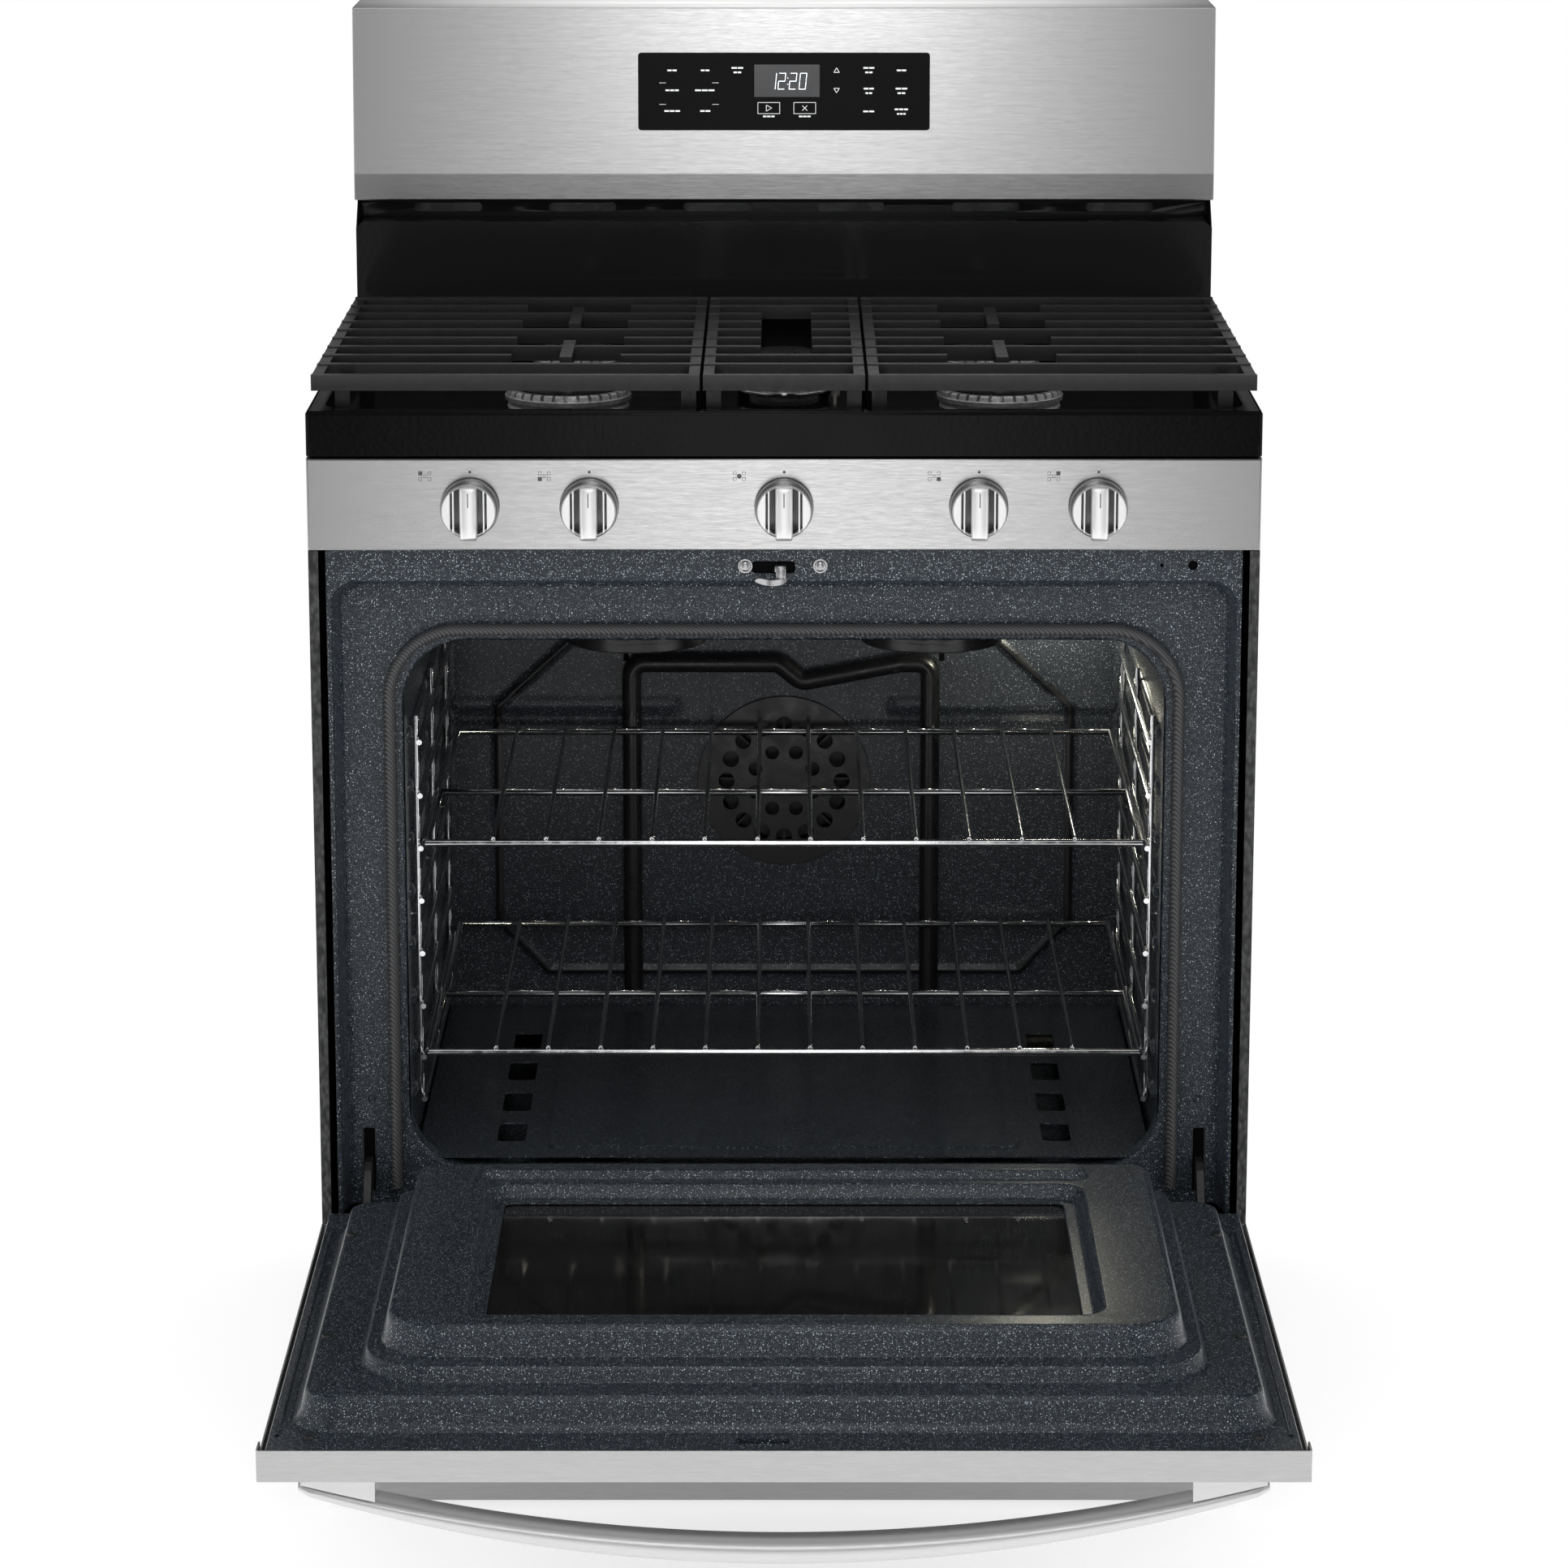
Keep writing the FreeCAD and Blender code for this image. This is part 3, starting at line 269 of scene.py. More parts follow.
def steel(name, base, dark, rough_lo, rough_hi, axis="X", grain=1.0, length=70.0):
    """Brushed steel: short fine grain along one axis over faint long streaks."""
    m = Mat(name)
    m.set(Metallic=1.0)
    f, f2 = 950.0, 2100.0
    k = {"X": (length, f, f), "Z": (f, f, length), "Y": (f, length, f)}[axis]
    k2 = {"X": (length * 2.2, f2, f2), "Z": (f2, f2, length * 2.2), "Y": (f2, length * 2.2, f2)}[axis]
    k3 = {"X": (14.0, 420.0, 420.0), "Z": (420.0, 420.0, 14.0), "Y": (420.0, 14.0, 420.0)}[axis]
    g1 = m.noise(1.0, 2.0, m.mapping(k), 0.6)
    g2 = m.noise(1.0, 2.0, m.mapping(k2), 0.6)
    g3 = m.noise(1.0, 2.0, m.mapping(k3), 0.5)
    g = m.math("ADD", m.math("MULTIPLY", g1, 0.5), m.math("ADD", m.math("MULTIPLY", g2, 0.3), m.math("MULTIPLY", g3, 0.2)))
    m.color(m.ramp(g, [(0.5 - 0.28 / max(grain, 0.2), dark), (0.5 + 0.28 / max(grain, 0.2), base)]))
    m.rough(m.rng(g, 0.3, 0.7, rough_hi, rough_lo))
    m.normal(m.bump(g, 0.022 * grain, 0.0002))
    return m


MAT = {}
MAT["stainless"] = steel("stainless", (0.46, 0.46, 0.459), (0.345, 0.345, 0.345), 0.19, 0.25)
MAT["stainless"].set(Anisotropic=0.5, Anisotropic_Rotation=0.25)
# the backguard's bent lower edge looks down at the black cooktop; its base colour is halved there as painted shade
m = steel("backguard_steel", (0.46, 0.46, 0.459), (0.345, 0.345, 0.345), 0.19, 0.25)
m.set(Anisotropic=0.5, Anisotropic_Rotation=0.25)
sp = m.n("ShaderNodeSeparateXYZ")
m.link(m.coord.outputs["Object"], sp.inputs[0])
# painted shade mask: 0.5 on the bent lower band, 1.0 on the face above
edge = m.math("MAXIMUM", m.rng(sp.outputs[2], 1.0428, 1.0440, 0.50, 1.0), m.rng(sp.outputs[1], FP + 0.5143, FP + 0.5147, 0.50, 1.0))
painted_shade_tint = m.n("ShaderNodeCombineColor")
for i in range(3):
    m.link(edge, painted_shade_tint.inputs[i])
mul = m.n("ShaderNodeMix", data_type="RGBA", blend_type="MULTIPLY")
mul.inputs[0].default_value = 1.0
m.link(m.b.inputs["Base Color"].links[0].from_socket, mul.inputs[6])
m.link(painted_shade_tint.outputs[0], mul.inputs[7])
m.color(mul.outputs[2])
MAT["backguard_steel"] = m
# darker copy of the stainless steel: painted shade for the drawer front under the door
MAT["drawer_steel_painted_shade"] = steel("drawer_steel_painted_shade", (0.34, 0.34, 0.339), (0.27, 0.27, 0.27), 0.30, 0.38)
MAT["door_steel"] = steel("door_steel", (0.52, 0.52, 0.518), (0.42, 0.42, 0.42), 0.30, 0.38)
MAT["handle_steel"] = steel("handle_steel", (0.66, 0.66, 0.662), (0.58, 0.58, 0.582), 0.32, 0.40, "X", 0.6)
MAT["handle_steel"].set(Metallic=0.8)
MAT["knob_metal"] = steel("knob_metal", (0.92, 0.92, 0.92), (0.84, 0.84, 0.84), 0.30, 0.36, "Z", 0.25, 30.0)
MAT["knob_metal"].set(Metallic=0.75)
MAT["knob_groove"] = steel("knob_groove", (0.20, 0.20, 0.202), (0.11, 0.11, 0.112), 0.30, 0.42, "Z", 0.5, 60.0)
MAT["knob_skirt"] = steel("knob_skirt", (0.50, 0.50, 0.505), (0.42, 0.42, 0.425), 0.34, 0.44, "X", 0.5, 200.0)
MAT["latch_metal"] = steel("latch_metal", (0.62, 0.62, 0.63), (0.40, 0.40, 0.41), 0.22, 0.34, "X", 0.5)
MAT["polished"] = steel("polished", (0.90, 0.90, 0.905), (0.82, 0.82, 0.825), 0.10, 0.18, "X", 0.4)

# gloss black enamel: faint orange peel, tiny dust
m = Mat("gloss_enamel").set(Roughness=0.09, IOR=1.14)
m.color(m.ramp(m.noise(900.0, 2.0), [(0.35, (0.0022, 0.0022, 0.0023)), (0.8, (0.0042, 0.0042, 0.0044))]))
m.rough(m.rng(m.noise(14.0, 4.0), 0.3, 0.7, 0.07, 0.14))
m.normal(m.bump(m.noise(220.0, 1.0), 0.05, 0.0006))
MAT["gloss_enamel"] = m

m = Mat("panel_enamel").set(IOR=1.18)
m.color(m.ramp(m.noise(900.0, 2.0), [(0.35, (0.0070, 0.0070, 0.0071)), (0.8, (0.0100, 0.0100, 0.0102))]))
m.rough(m.rng(m.noise(14.0, 4.0), 0.3, 0.7, 0.07, 0.14))
m.normal(m.bump(m.noise(220.0, 1.0), 0.05, 0.0006))
MAT["panel_enamel"] = m


def porcelain(name, base, lit, density=0.5, rough=0.30, fleck=(0.50, 0.55, 0.60), grit_gain=0.5):
    """Dark blue-grey porcelain enamel with pale flecks of three sizes."""
    m = Mat(name)
    m.set(IOR=1.36)
    ground = m.ramp(m.noise(7.0, 3.0), [(0.3, base), (0.75, lit)])
    grit = m.rng(m.noise(1300.0, 2.0), 0.48, 0.72, 0.0, grit_gain)
    out = m.mix(grit, ground, tuple(c * 3.2 for c in lit))
    for scale, size, pick, amount in ((540.0, 0.26, density, 1.0), (800.0, 0.27, density, 0.7), (1200.0, 0.30, density, 0.42)):
        v = m.voronoi(scale)
        dot = m.rng(v.outputs["Distance"], size * 0.55, size, 1.0, 0.0)
        sep = m.n("ShaderNodeSeparateColor")
        m.link(v.outputs["Color"], sep.inputs[0])
        chosen = m.rng(sep.outputs[0], 1.0 - pick, 1.0 - pick + 0.05, 0.0, 1.0)
        shade = m.rng(sep.outputs[1], 0.0, 1.0, 0.15, 1.0)
        f = m.math("MULTIPLY", m.math("MULTIPLY", dot, chosen), m.math("MULTIPLY", shade, amount))
        out = m.mix(f, out, fleck)
    m.color(out)
    m.rough(m.rng(m.noise(900.0, 2.0), 0.3, 0.7, rough - 0.04, rough + 0.05))
    m.normal(m.bump(m.noise(500.0, 1.0), 0.035, 0.0003))
    return m


MAT["porcelain"] = porcelain("porcelain", (0.0090, 0.0122, 0.0165), (0.0122, 0.0160, 0.0215), 0.62, 0.30, (0.70, 0.77, 0.84), 0.85)
MAT["porcelain_dark"] = porcelain("porcelain_dark", (0.0120, 0.0148, 0.0186), (0.0160, 0.0192, 0.0240), 0.50, 0.26, (0.44, 0.49, 0.54), 0.4)

# cast iron grates: satin black enamel, with a paler colour on the top faces as painted highlight
m = Mat("grate_iron").set(IOR=1.5)
sp = m.n("ShaderNodeSeparateXYZ")
m.link(m.coord.outputs["Object"], sp.inputs[0])
# painted highlight: height mask that pales the colour along the top faces
up = m.rng(sp.outputs[2], 0.9325, 0.9405, 0.0, 1.0)
nz = m.noise(700.0, 3.0)
m.color(m.mix(up, m.ramp(nz, [(0.35, (0.0012, 0.0012, 0.0013)), (0.75, (0.0030, 0.0030, 0.0032))]), m.ramp(nz, [(0.35, (0.0120, 0.0120, 0.0123)), (0.75, (0.0200, 0.0200, 0.0204))])))
m.rough(m.rng(m.noise(120.0, 3.0), 0.3, 0.7, 0.30, 0.42))
m.normal(m.bump(m.noise(900.0, 2.0), 0.07, 0.0004, m.bump(m.noise(90.0, 2.0), 0.05, 0.0012)))
MAT["grate_iron"] = m

m = Mat("cap_enamel").set(IOR=1.5)
m.color(m.ramp(m.noise(600.0, 3.0), [(0.35, (0.005, 0.005, 0.0055)), (0.8, (0.013, 0.013, 0.014))]))
m.rough(m.rng(m.noise(80.0, 3.0), 0.3, 0.7, 0.22, 0.38))
m.normal(m.bump(m.noise(500.0, 2.0), 0.12, 0.0004))
MAT["cap_enamel"] = m

m = Mat("burner_metal").set(Metallic=1.0)
m.color(m.ramp(m.noise(300.0, 4.0), [(0.3, (0.52, 0.52, 0.525)), (0.7, (0.78, 0.78, 0.79))]))
m.rough(m.rng(m.noise(200.0, 3.0), 0.3, 0.7, 0.35, 0.55))
m.normal(m.bump(m.noise(700.0, 2.0), 0.2, 0.0004))
MAT["burner_metal"] = m

m = Mat("ceramic").set(IOR=1.5)
m.color(m.ramp(m.noise(200.0, 2.0), [(0.3, (0.62, 0.60, 0.55)), (0.7, (0.80, 0.78, 0.73))]))
m.rough(m.rng(m.noise(100.0, 2.0), 0.3, 0.7, 0.35, 0.5))
MAT["ceramic"] = m

# side panels: black wrinkle paint
m = Mat("side_paint").set(IOR=1.45)
v = m.voronoi(300.0, m.mapping((1.0, 1.0, 0.6)), feature="SMOOTH_F1")
m.color(m.mix(m.rng(v.outputs["Distance"], 0.15, 0.65, 1.0, 0.0), (0.010, 0.0104, 0.0108), (0.050, 0.051, 0.053)))
m.rough(m.rng(m.noise(150.0, 3.0), 0.3, 0.7, 0.32, 0.48))
m.normal(m.bump(v.outputs["Distance"], 0.9, 0.0012))
MAT["side_paint"] = m

m = Mat("dark_paint").set(IOR=1.5)
m.color(m.ramp(m.noise(300.0, 3.0), [(0.3, (0.010, 0.010, 0.011)), (0.8, (0.022, 0.022, 0.023))]))
m.rough(m.rng(m.noise(60.0, 3.0), 0.3, 0.7, 0.34, 0.5))
m.normal(m.bump(m.noise(400.0, 2.0), 0.1, 0.0004))
MAT["dark_paint"] = m

# zinc coated sheet with soft spangle
m = Mat("galvanised").set(Metallic=1.0)
v = m.voronoi(70.0)
sep = m.n("ShaderNodeSeparateColor")
m.link(v.outputs["Color"], sep.inputs[0])
m.color(m.ramp(sep.outputs[0], [(0.0, (0.38, 0.39, 0.40)), (1.0, (0.56, 0.57, 0.58))]))
m.rough(m.rng(sep.outputs[1], 0.0, 1.0, 0.34, 0.52))
m.normal(m.bump(m.noise(300.0, 2.0), 0.05, 0.0004))
MAT["galvanised"] = m

m = Mat("brass_parts").set(Metallic=1.0)
m.color(m.ramp(m.noise(120.0, 3.0), [(0.3, (0.42, 0.30, 0.12)), (0.7, (0.66, 0.50, 0.24))]))
m.rough(m.rng(m.noise(200.0, 3.0), 0.3, 0.7, 0.25, 0.42))
MAT["brass_parts"] = m

m = Mat("foot_plastic").set(IOR=1.46)
m.color(m.ramp(m.noise(400.0, 3.0), [(0.3, (0.012, 0.012, 0.012)), (0.8, (0.03, 0.03, 0.03))]))
m.rough(m.rng(m.noise(200.0, 3.0), 0.3, 0.7, 0.5, 0.65))
m.normal(m.bump(m.noise(900.0, 2.0), 0.2, 0.0003))
MAT["foot_plastic"] = m

m = Mat("black_glass").set(IOR=1.13)
m.color(m.ramp(m.noise(3.0, 2.0), [(0.3, (0.0022, 0.0022, 0.0024)), (0.8, (0.0045, 0.0045, 0.005))]))
m.rough(m.rng(m.noise(25.0, 4.0), 0.35, 0.75, 0.03, 0.09))
MAT["black_glass"] = m

m = Mat("window_glass").set(IOR=1.75)
m.color(m.ramp(m.noise(3.0, 3.0), [(0.3, (0.008, 0.0078, 0.0076)), (0.8, (0.014, 0.0135, 0.013))]))
m.rough(m.rng(m.noise(18.0, 4.0), 0.35, 0.75, 0.03, 0.10))
MAT["window_glass"] = m

m = Mat("lamp_glass").set(IOR=1.5, Transmission_Weight=0.6)
m.color(m.ramp(m.noise(60.0, 2.0), [(0.3, (0.85, 0.84, 0.78)), (0.8, (0.95, 0.94, 0.88))]))
m.rough(m.rng(m.noise(40.0, 2.0), 0.3, 0.7, 0.05, 0.15))
MAT["lamp_glass"] = m

# woven gasket: crossing strands
m = Mat("gasket_rubber").set(IOR=1.45)
w = m.n("ShaderNodeTexWave", wave_type="BANDS", bands_direction="DIAGONAL")
w.inputs["Scale"].default_value = 160.0
w.inputs["Distortion"].default_value = 1.5
m.link(m.coord.outputs["Object"], w.inputs["Vector"])
m.color(m.ramp(w.outputs["Fac"], [(0.1, (0.022, 0.022, 0.023)), (0.9, (0.066, 0.067, 0.070))]))
m.rough(m.rng(m.noise(300.0, 3.0), 0.3, 0.7, 0.42, 0.6))
m.normal(m.bump(w.outputs["Fac"], 0.35, 0.0005))
MAT["gasket_rubber"] = m

m = Mat("chrome_wire").set(Metallic=1.0)
m.color(m.ramp(m.noise(60.0, 4.0), [(0.3, (0.68, 0.68, 0.69)), (0.7, (0.86, 0.86, 0.87))]))
m.rough(m.rng(m.noise(150.0, 3.0), 0.3, 0.7, 0.08, 0.2))
m.normal(m.bump(m.noise(500.0, 2.0), 0.04, 0.0003))
MAT["chrome_wire"] = m

m = Mat("fibre").set(IOR=1.4)
m.color(m.ramp(m.noise(260.0, 6.0, rough=0.7), [(0.3, (0.42, 0.33, 0.12)), (0.7, (0.74, 0.62, 0.30))]))
m.set(Roughness=0.95)
m.normal(m.bump(m.noise(240.0, 5.0), 0.9, 0.003))
MAT["fibre"] = m

m = Mat("print_grey").set(IOR=1.5)
m.color(m.ramp(m.noise(900.0, 2.0), [(0.3, (0.05, 0.05, 0.052)), (0.7, (0.08, 0.08, 0.083))]))
m.rough(m.rng(m.noise(300.0, 2.0), 0.3, 0.7, 0.4, 0.55))
MAT["print_grey"] = m

# white print with a faint emission: painted glow on the printed key marks
m = Mat("print_white_painted_glow").set(IOR=1.5, Emission_Strength=0.35)
m.color(m.ramp(m.noise(900.0, 2.0), [(0.3, (0.66, 0.67, 0.68)), (0.7, (0.82, 0.83, 0.84))]))
m.b.inputs["Emission Color"].default_value = (0.8, 0.82, 0.84, 1)
m.rough(m.rng(m.noise(300.0, 2.0), 0.3, 0.7, 0.4, 0.55))
MAT["print_white_painted_glow"] = m

m = Mat("digit_glow").set(IOR=1.5, Emission_Strength=1.0)
m.color(m.ramp(m.noise(900.0, 2.0), [(0.3, (0.75, 0.80, 0.84)), (0.7, (0.9, 0.95, 1.0))]))
m.b.inputs["Emission Color"].default_value = (0.80, 0.88, 0.95, 1)
m.rough(m.rng(m.noise(300.0, 2.0), 0.3, 0.7, 0.4, 0.55))
MAT["digit_glow"] = m

m = Mat("black_window").set(IOR=1.5)
m.color(m.ramp(m.noise(40.0, 2.0), [(0.3, (0.016, 0.017, 0.019)), (0.8, (0.022, 0.023, 0.026))]))
m.rough(m.rng(m.noise(60.0, 3.0), 0.3, 0.7, 0.12, 0.2))
MAT["black_window"] = m

# near-black for blocks set behind holes, slots and notches: painted shade
m = Mat("painted_shade_black").set(IOR=1.2)
m.color(m.ramp(m.noise(300.0, 2.0), [(0.3, (0.0006, 0.0006, 0.0006)), (0.7, (0.0016, 0.0016, 0.0016))]))
m.rough(m.rng(m.noise(300.0, 2.0), 0.3, 0.7, 0.7, 0.9))
MAT["painted_shade_black"] = m

SLOT_OF = {s["node"]: s["material_slot"] for s in frame["record"]["subparts"]} if frame["record"].get("subparts") and isinstance(frame["record"]["subparts"][0], dict) and "material_slot" in frame["record"]["subparts"][0] else {}


# ------------------------------------------------------------------ mesh helpers
def add_mesh(name, verts, faces, mat, body, slot=None, smooth=True, replaces=(), sharp=38.0):
    me = bpy.data.meshes.new(name)
    me.from_pydata([tuple(v) for v in verts], [], faces)
    bm = bmesh.new()
    bm.from_mesh(me)
    bmesh.ops.remove_doubles(bm, verts=bm.verts, dist=1e-6)
    bmesh.ops.dissolve_degenerate(bm, dist=1e-7, edges=bm.edges)
    bmesh.ops.recalc_face_normals(bm, faces=bm.faces)
    for f in bm.faces:
        f.smooth = smooth
    if smooth:
        lim = math.radians(sharp)
        for e in bm.edges:
            if len(e.link_faces) == 2 and e.calc_face_angle(0) > lim:
                e.smooth = False
    bm.to_mesh(me)
    bm.free()
    ob = bpy.data.objects.new(name, me)
    bpy.context.scene.collection.objects.link(ob)
    me.materials.append(MAT[mat].m)
    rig.ride(ob, body)
    if replaces:
        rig.replaces(ob, *replaces)
    if slot:
        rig.slot(ob, slot)
    return ob


class Build:
    """Collects vertices and faces of several shells into one piece."""

    def __init__(self):
        self.v, self.f = [], []

    def add(self, verts, faces):
        o = len(self.v)
        self.v += [Vector(p) for p in verts]
        self.f += [tuple(i + o for i in f) for f in faces]

    def loft(self, loops, closed=True, caps=(False, False)):
        n = len(loops[0])
        verts = [p for l in loops for p in l]
        faces = []
        for k in range(len(loops) - 1):
            for i in range(n if closed else n - 1):
                j = (i + 1) % n
                faces.append((k * n + i, k * n + j, (k + 1) * n + j, (k + 1) * n + i))
        if caps[0]:
            faces.append(tuple(reversed(range(n))))
        if caps[1]:
            faces.append(tuple((len(loops) - 1) * n + i for i in range(n)))
        self.add(verts, faces)

    def block(self, x0, x1, y0, y1, z0, z1, r=0.5, seg=2):
        """A rounded-edge block in millimetres of the front-plane frame."""
        bm = bmesh.new()
        bmesh.ops.create_cube(bm, size=1.0)
        for v in bm.verts:
            v.co = P(x0 if v.co.x < 0 else x1, y0 if v.co.y < 0 else y1, z0 if v.co.z < 0 else z1)
        if r > 0:
            bmesh.ops.bevel(bm, geom=list(bm.edges), offset=r / 1000.0, segments=seg, profile=0.5, affect="EDGES", clamp_overlap=True)
        bm.verts.ensure_lookup_table()
        for i, v in enumerate(bm.verts):
            v.index = i
        self.add([v.co.copy() for v in bm.verts], [[v.index for v in f.verts] for f in bm.faces])
        bm.free()

    def lathe(self, axis, c, profile, seg=48, start=0.0, end=2 * math.pi):
        """profile is [(along, radius)] in millimetres; c is the axis point in millimetres."""
        loops = []
        for a, r in profile:
            loop = []
            for i in range(seg):
                t = start + (end - start) * i / seg
                u, w = r * math.cos(t), r * math.sin(t)
                if axis == "Y":
                    loop.append(P(c[0] + u, c[1] + a, c[2] + w))
                elif axis == "Z":
                    loop.append(P(c[0] + u, c[1] + w, c[2] + a))
                else:
                    loop.append(P(c[0] + a, c[1] + u, c[2] + w))
            loops.append(loop)
        self.loft(loops, True, (profile[0][1] > 0, profile[-1][1] > 0))

    def tube(self, pts, r, seg=10, caps=True):
        """A round tube through points given in millimetres."""
        pts = [P(*p) for p in pts]
        loops = []
        up = None
        for i, p in enumerate(pts):
            d = ((pts[min(i + 1, len(pts) - 1)] - p).normalized() + (p - pts[max(i - 1, 0)]).normalized())
            d.normalize()
            if up is None:
                up = Vector((0, 0, 1)) if abs(d.z) < 0.9 else Vector((0, 1, 0))
            side = d.cross(up).normalized()
            up = side.cross(d).normalized()
            rr = r[i] if isinstance(r, (list, tuple)) else r
            loops.append([p + (side * math.cos(t) + up * math.sin(t)) * rr / 1000.0 for t in (2 * math.pi * k / seg for k in range(seg))])
        self.loft(loops, True, (caps, caps))

    def make(self, name, mat, body, **kw):
        return add_mesh(name, self.v, self.f, mat, body, **kw)


def rrect(x0, x1, y0, y1, r, n=8, r2=None):
    """Outline of a rounded rectangle; r2 is the radius at the y0 side if it differs."""
    pts = []
    r2 = r if r2 is None else r2
    for cx, cy, q, s in ((x1 - r2, y0 + r2, r2, -0.5), (x1 - r, y1 - r, r, 0.0), (x0 + r, y1 - r, r, 0.5), (x0 + r2, y0 + r2, r2, 1.0)):
        for i in range(n + 1):
            t = (s + 0.5 * i / n) * math.pi
            pts.append((cx + q * math.cos(t), cy + q * math.sin(t)))
    return pts


def arc_bend(points, bend, n=6):
    """Rounds the corners of a polyline of (x, y, z)."""
    pts = [Vector(p) for p in points]
    out = [pts[0]]
    for i in range(1, len(pts) - 1):
        a, b, c = pts[i - 1], pts[i], pts[i + 1]
        u, v = (a - b).normalized(), (c - b).normalized()
        ang = u.angle(v)
        q = bend[i - 1] if isinstance(bend, (list, tuple)) else bend
        trim = min(q / math.tan(ang / 2), (a - b).length * 0.49, (c - b).length * 0.49)
        rad = trim * math.tan(ang / 2)
        centre = b + (u + v).normalized() * (rad / math.sin(ang / 2))
        p, q2 = b + u * trim, b + v * trim
        for k in range(n + 1):
            d = (p - centre).lerp(q2 - centre, k / n)
            out.append(centre + d.normalized() * rad)
    out.append(pts[-1])
    return [tuple(p) for p in out]


# ------------------------------------------------------------------ carried-over CAD nodes
def paint(node, mat, bevel=0.0, seg=2, angle=32):
    ob = NODES[node]
    ob.data.materials.clear()
    ob.data.materials.append(MAT[mat].m)
    w = ob.modifiers.new("weld", "WELD")
    w.merge_threshold = 1e-5
    if bevel:
        d = ob.modifiers.new("flat", "DECIMATE")
        d.decimate_type = "DISSOLVE"
        d.angle_limit = math.radians(0.5)
        b = ob.modifiers.new("edge", "BEVEL")
        b.width = bevel / 1000.0
        b.segments = seg
        b.limit_method = "ANGLE"
        b.angle_limit = math.radians(angle)
        b.harden_normals = False
        b.use_clamp_overlap = True
    return ob


CARRY = {
    "side_panel_left": ("side_paint", 0.4), "side_panel_right": ("side_paint", 0.4), "rear_panel": ("galvanised", 0.3),
    "base_pan": ("galvanised", 0.4), "levelling_legs": ("foot_plastic", 0.8), "lower_cross_rail": ("dark_paint", 0.4),
    "cooktop": ("gloss_enamel", 0.8), "burner_heads": ("burner_metal", 0.6), "burner_caps": ("cap_enamel", 1.5),
    "igniters": ("ceramic", 0.3), "backguard_shell": ("backguard_steel", 1.2), "display_glass": ("black_glass", 0.4),
    "backguard_lower_panel": ("panel_enamel", 0.5), "control_panel": ("stainless", 0.9), "gas_valves": ("brass_parts", 0.5),
    "manifold_pipe": ("galvanised", 0.0), "gas_regulator": ("brass_parts", 0.6), "cord_gland": ("foot_plastic", 0.5),
    "oven_front_frame": ("porcelain", 0.5), "oven_cavity": ("porcelain_dark", 0.0), "oven_floor": ("porcelain_dark", 0.6),
    "oven_gasket": ("gasket_rubber", 4.0), "broil_burner": ("cap_enamel", 1.5), "bake_burner": ("burner_metal", 0.0),
    "rear_wall_tube": ("cap_enamel", 0.0), "fan_cover": ("cap_enamel", 0.4), "fan_motor": ("dark_paint", 0.5),
    "oven_lamp": ("lamp_glass", 1.0), "insulation_wrap": ("fibre", 3.0), "rack_supports": ("chrome_wire", 0.0),
    "latch_housing": ("galvanised", 0.3), "hinge_claws": ("dark_paint", 0.4), "drawer_rails": ("galvanised", 0.3),
    "door_skin": ("door_steel", 0.4), "door_outer_glass": ("black_glass", 0.6), "door_liner": ("porcelain", 1.2),
    "door_inner_glass": ("window_glass", 0.6), "door_glass_frame": ("dark_paint", 0.4), "door_hinge_bodies": ("galvanised", 0.3),
    "handle_bar": ("handle_steel", 0.0), "handle_mounts": ("handle_steel", 1.0), "upper_rack": ("chrome_wire", 0.0),
    "lower_rack": ("chrome_wire", 0.0), "drawer_front": ("drawer_steel_painted_shade", 0.0), "drawer_box": ("dark_paint", 0.6),
    "fan_blade": ("dark_paint", 0.2), "latch_hook": ("polished", 0.4), "grate_left": ("grate_iron", 2.4),
    "grate_centre": ("grate_iron", 2.4), "grate_right": ("grate_iron", 2.4),
}
for n in ("left_rear", "left_front", "centre", "right_front", "right_rear"):
    CARRY["knob_" + n] = ("knob_metal", 0.5)
    CARRY["stem_" + n] = ("galvanised", 0.3)
for node, (mat, bevel) in CARRY.items():
    paint(node, mat, bevel, 4 if node.startswith("grate_") else 2)

# ------------------------------------------------------------------ more mesh helpers
from mathutils.geometry import tessellate_polygon


def flat_face(bld, loops):
    """Fills the first loop, leaving the other loops open as holes. Points are Vectors in metres."""
    tris = tessellate_polygon(loops)
    verts = [p for l in loops for p in l]
    bld.add(verts, [tuple(t) for t in tris])


def weighted(ob):
    m = ob.modifiers.new("weighted", "WEIGHTED_NORMAL")
    m.keep_sharp = True
    m.weight = 80
    return ob


def prism(bld, outline, y0, y1, bevel):
    """A plug of a convex XZ outline from y0 (back) to y1 (front), front edge bevelled."""
    cx = sum(p[0] for p in outline) / len(outline)
    cz = sum(p[1] for p in outline) / len(outline)
    rad = max(math.hypot(p[0] - cx, p[1] - cz) for p in outline)

    def loop(y, cut):
        k = 1 - cut / rad
        out = []
        for x, z in outline:
            d = math.hypot(x - cx, z - cz)
            kk = 1 - cut / max(d, 1.5)
            out.append(P(cx + (x - cx) * kk, y, cz + (z - cz) * kk))
        return out
    bld.loft([loop(y0, 0), loop(y1 + bevel, 0), loop(y1 + bevel * 0.3, bevel * 0.3), loop(y1, bevel)], True, (True, True))


def smooth01_(t):
    t = max(0.0, min(1.0, t))
    return t * t * (3 - 2 * t)


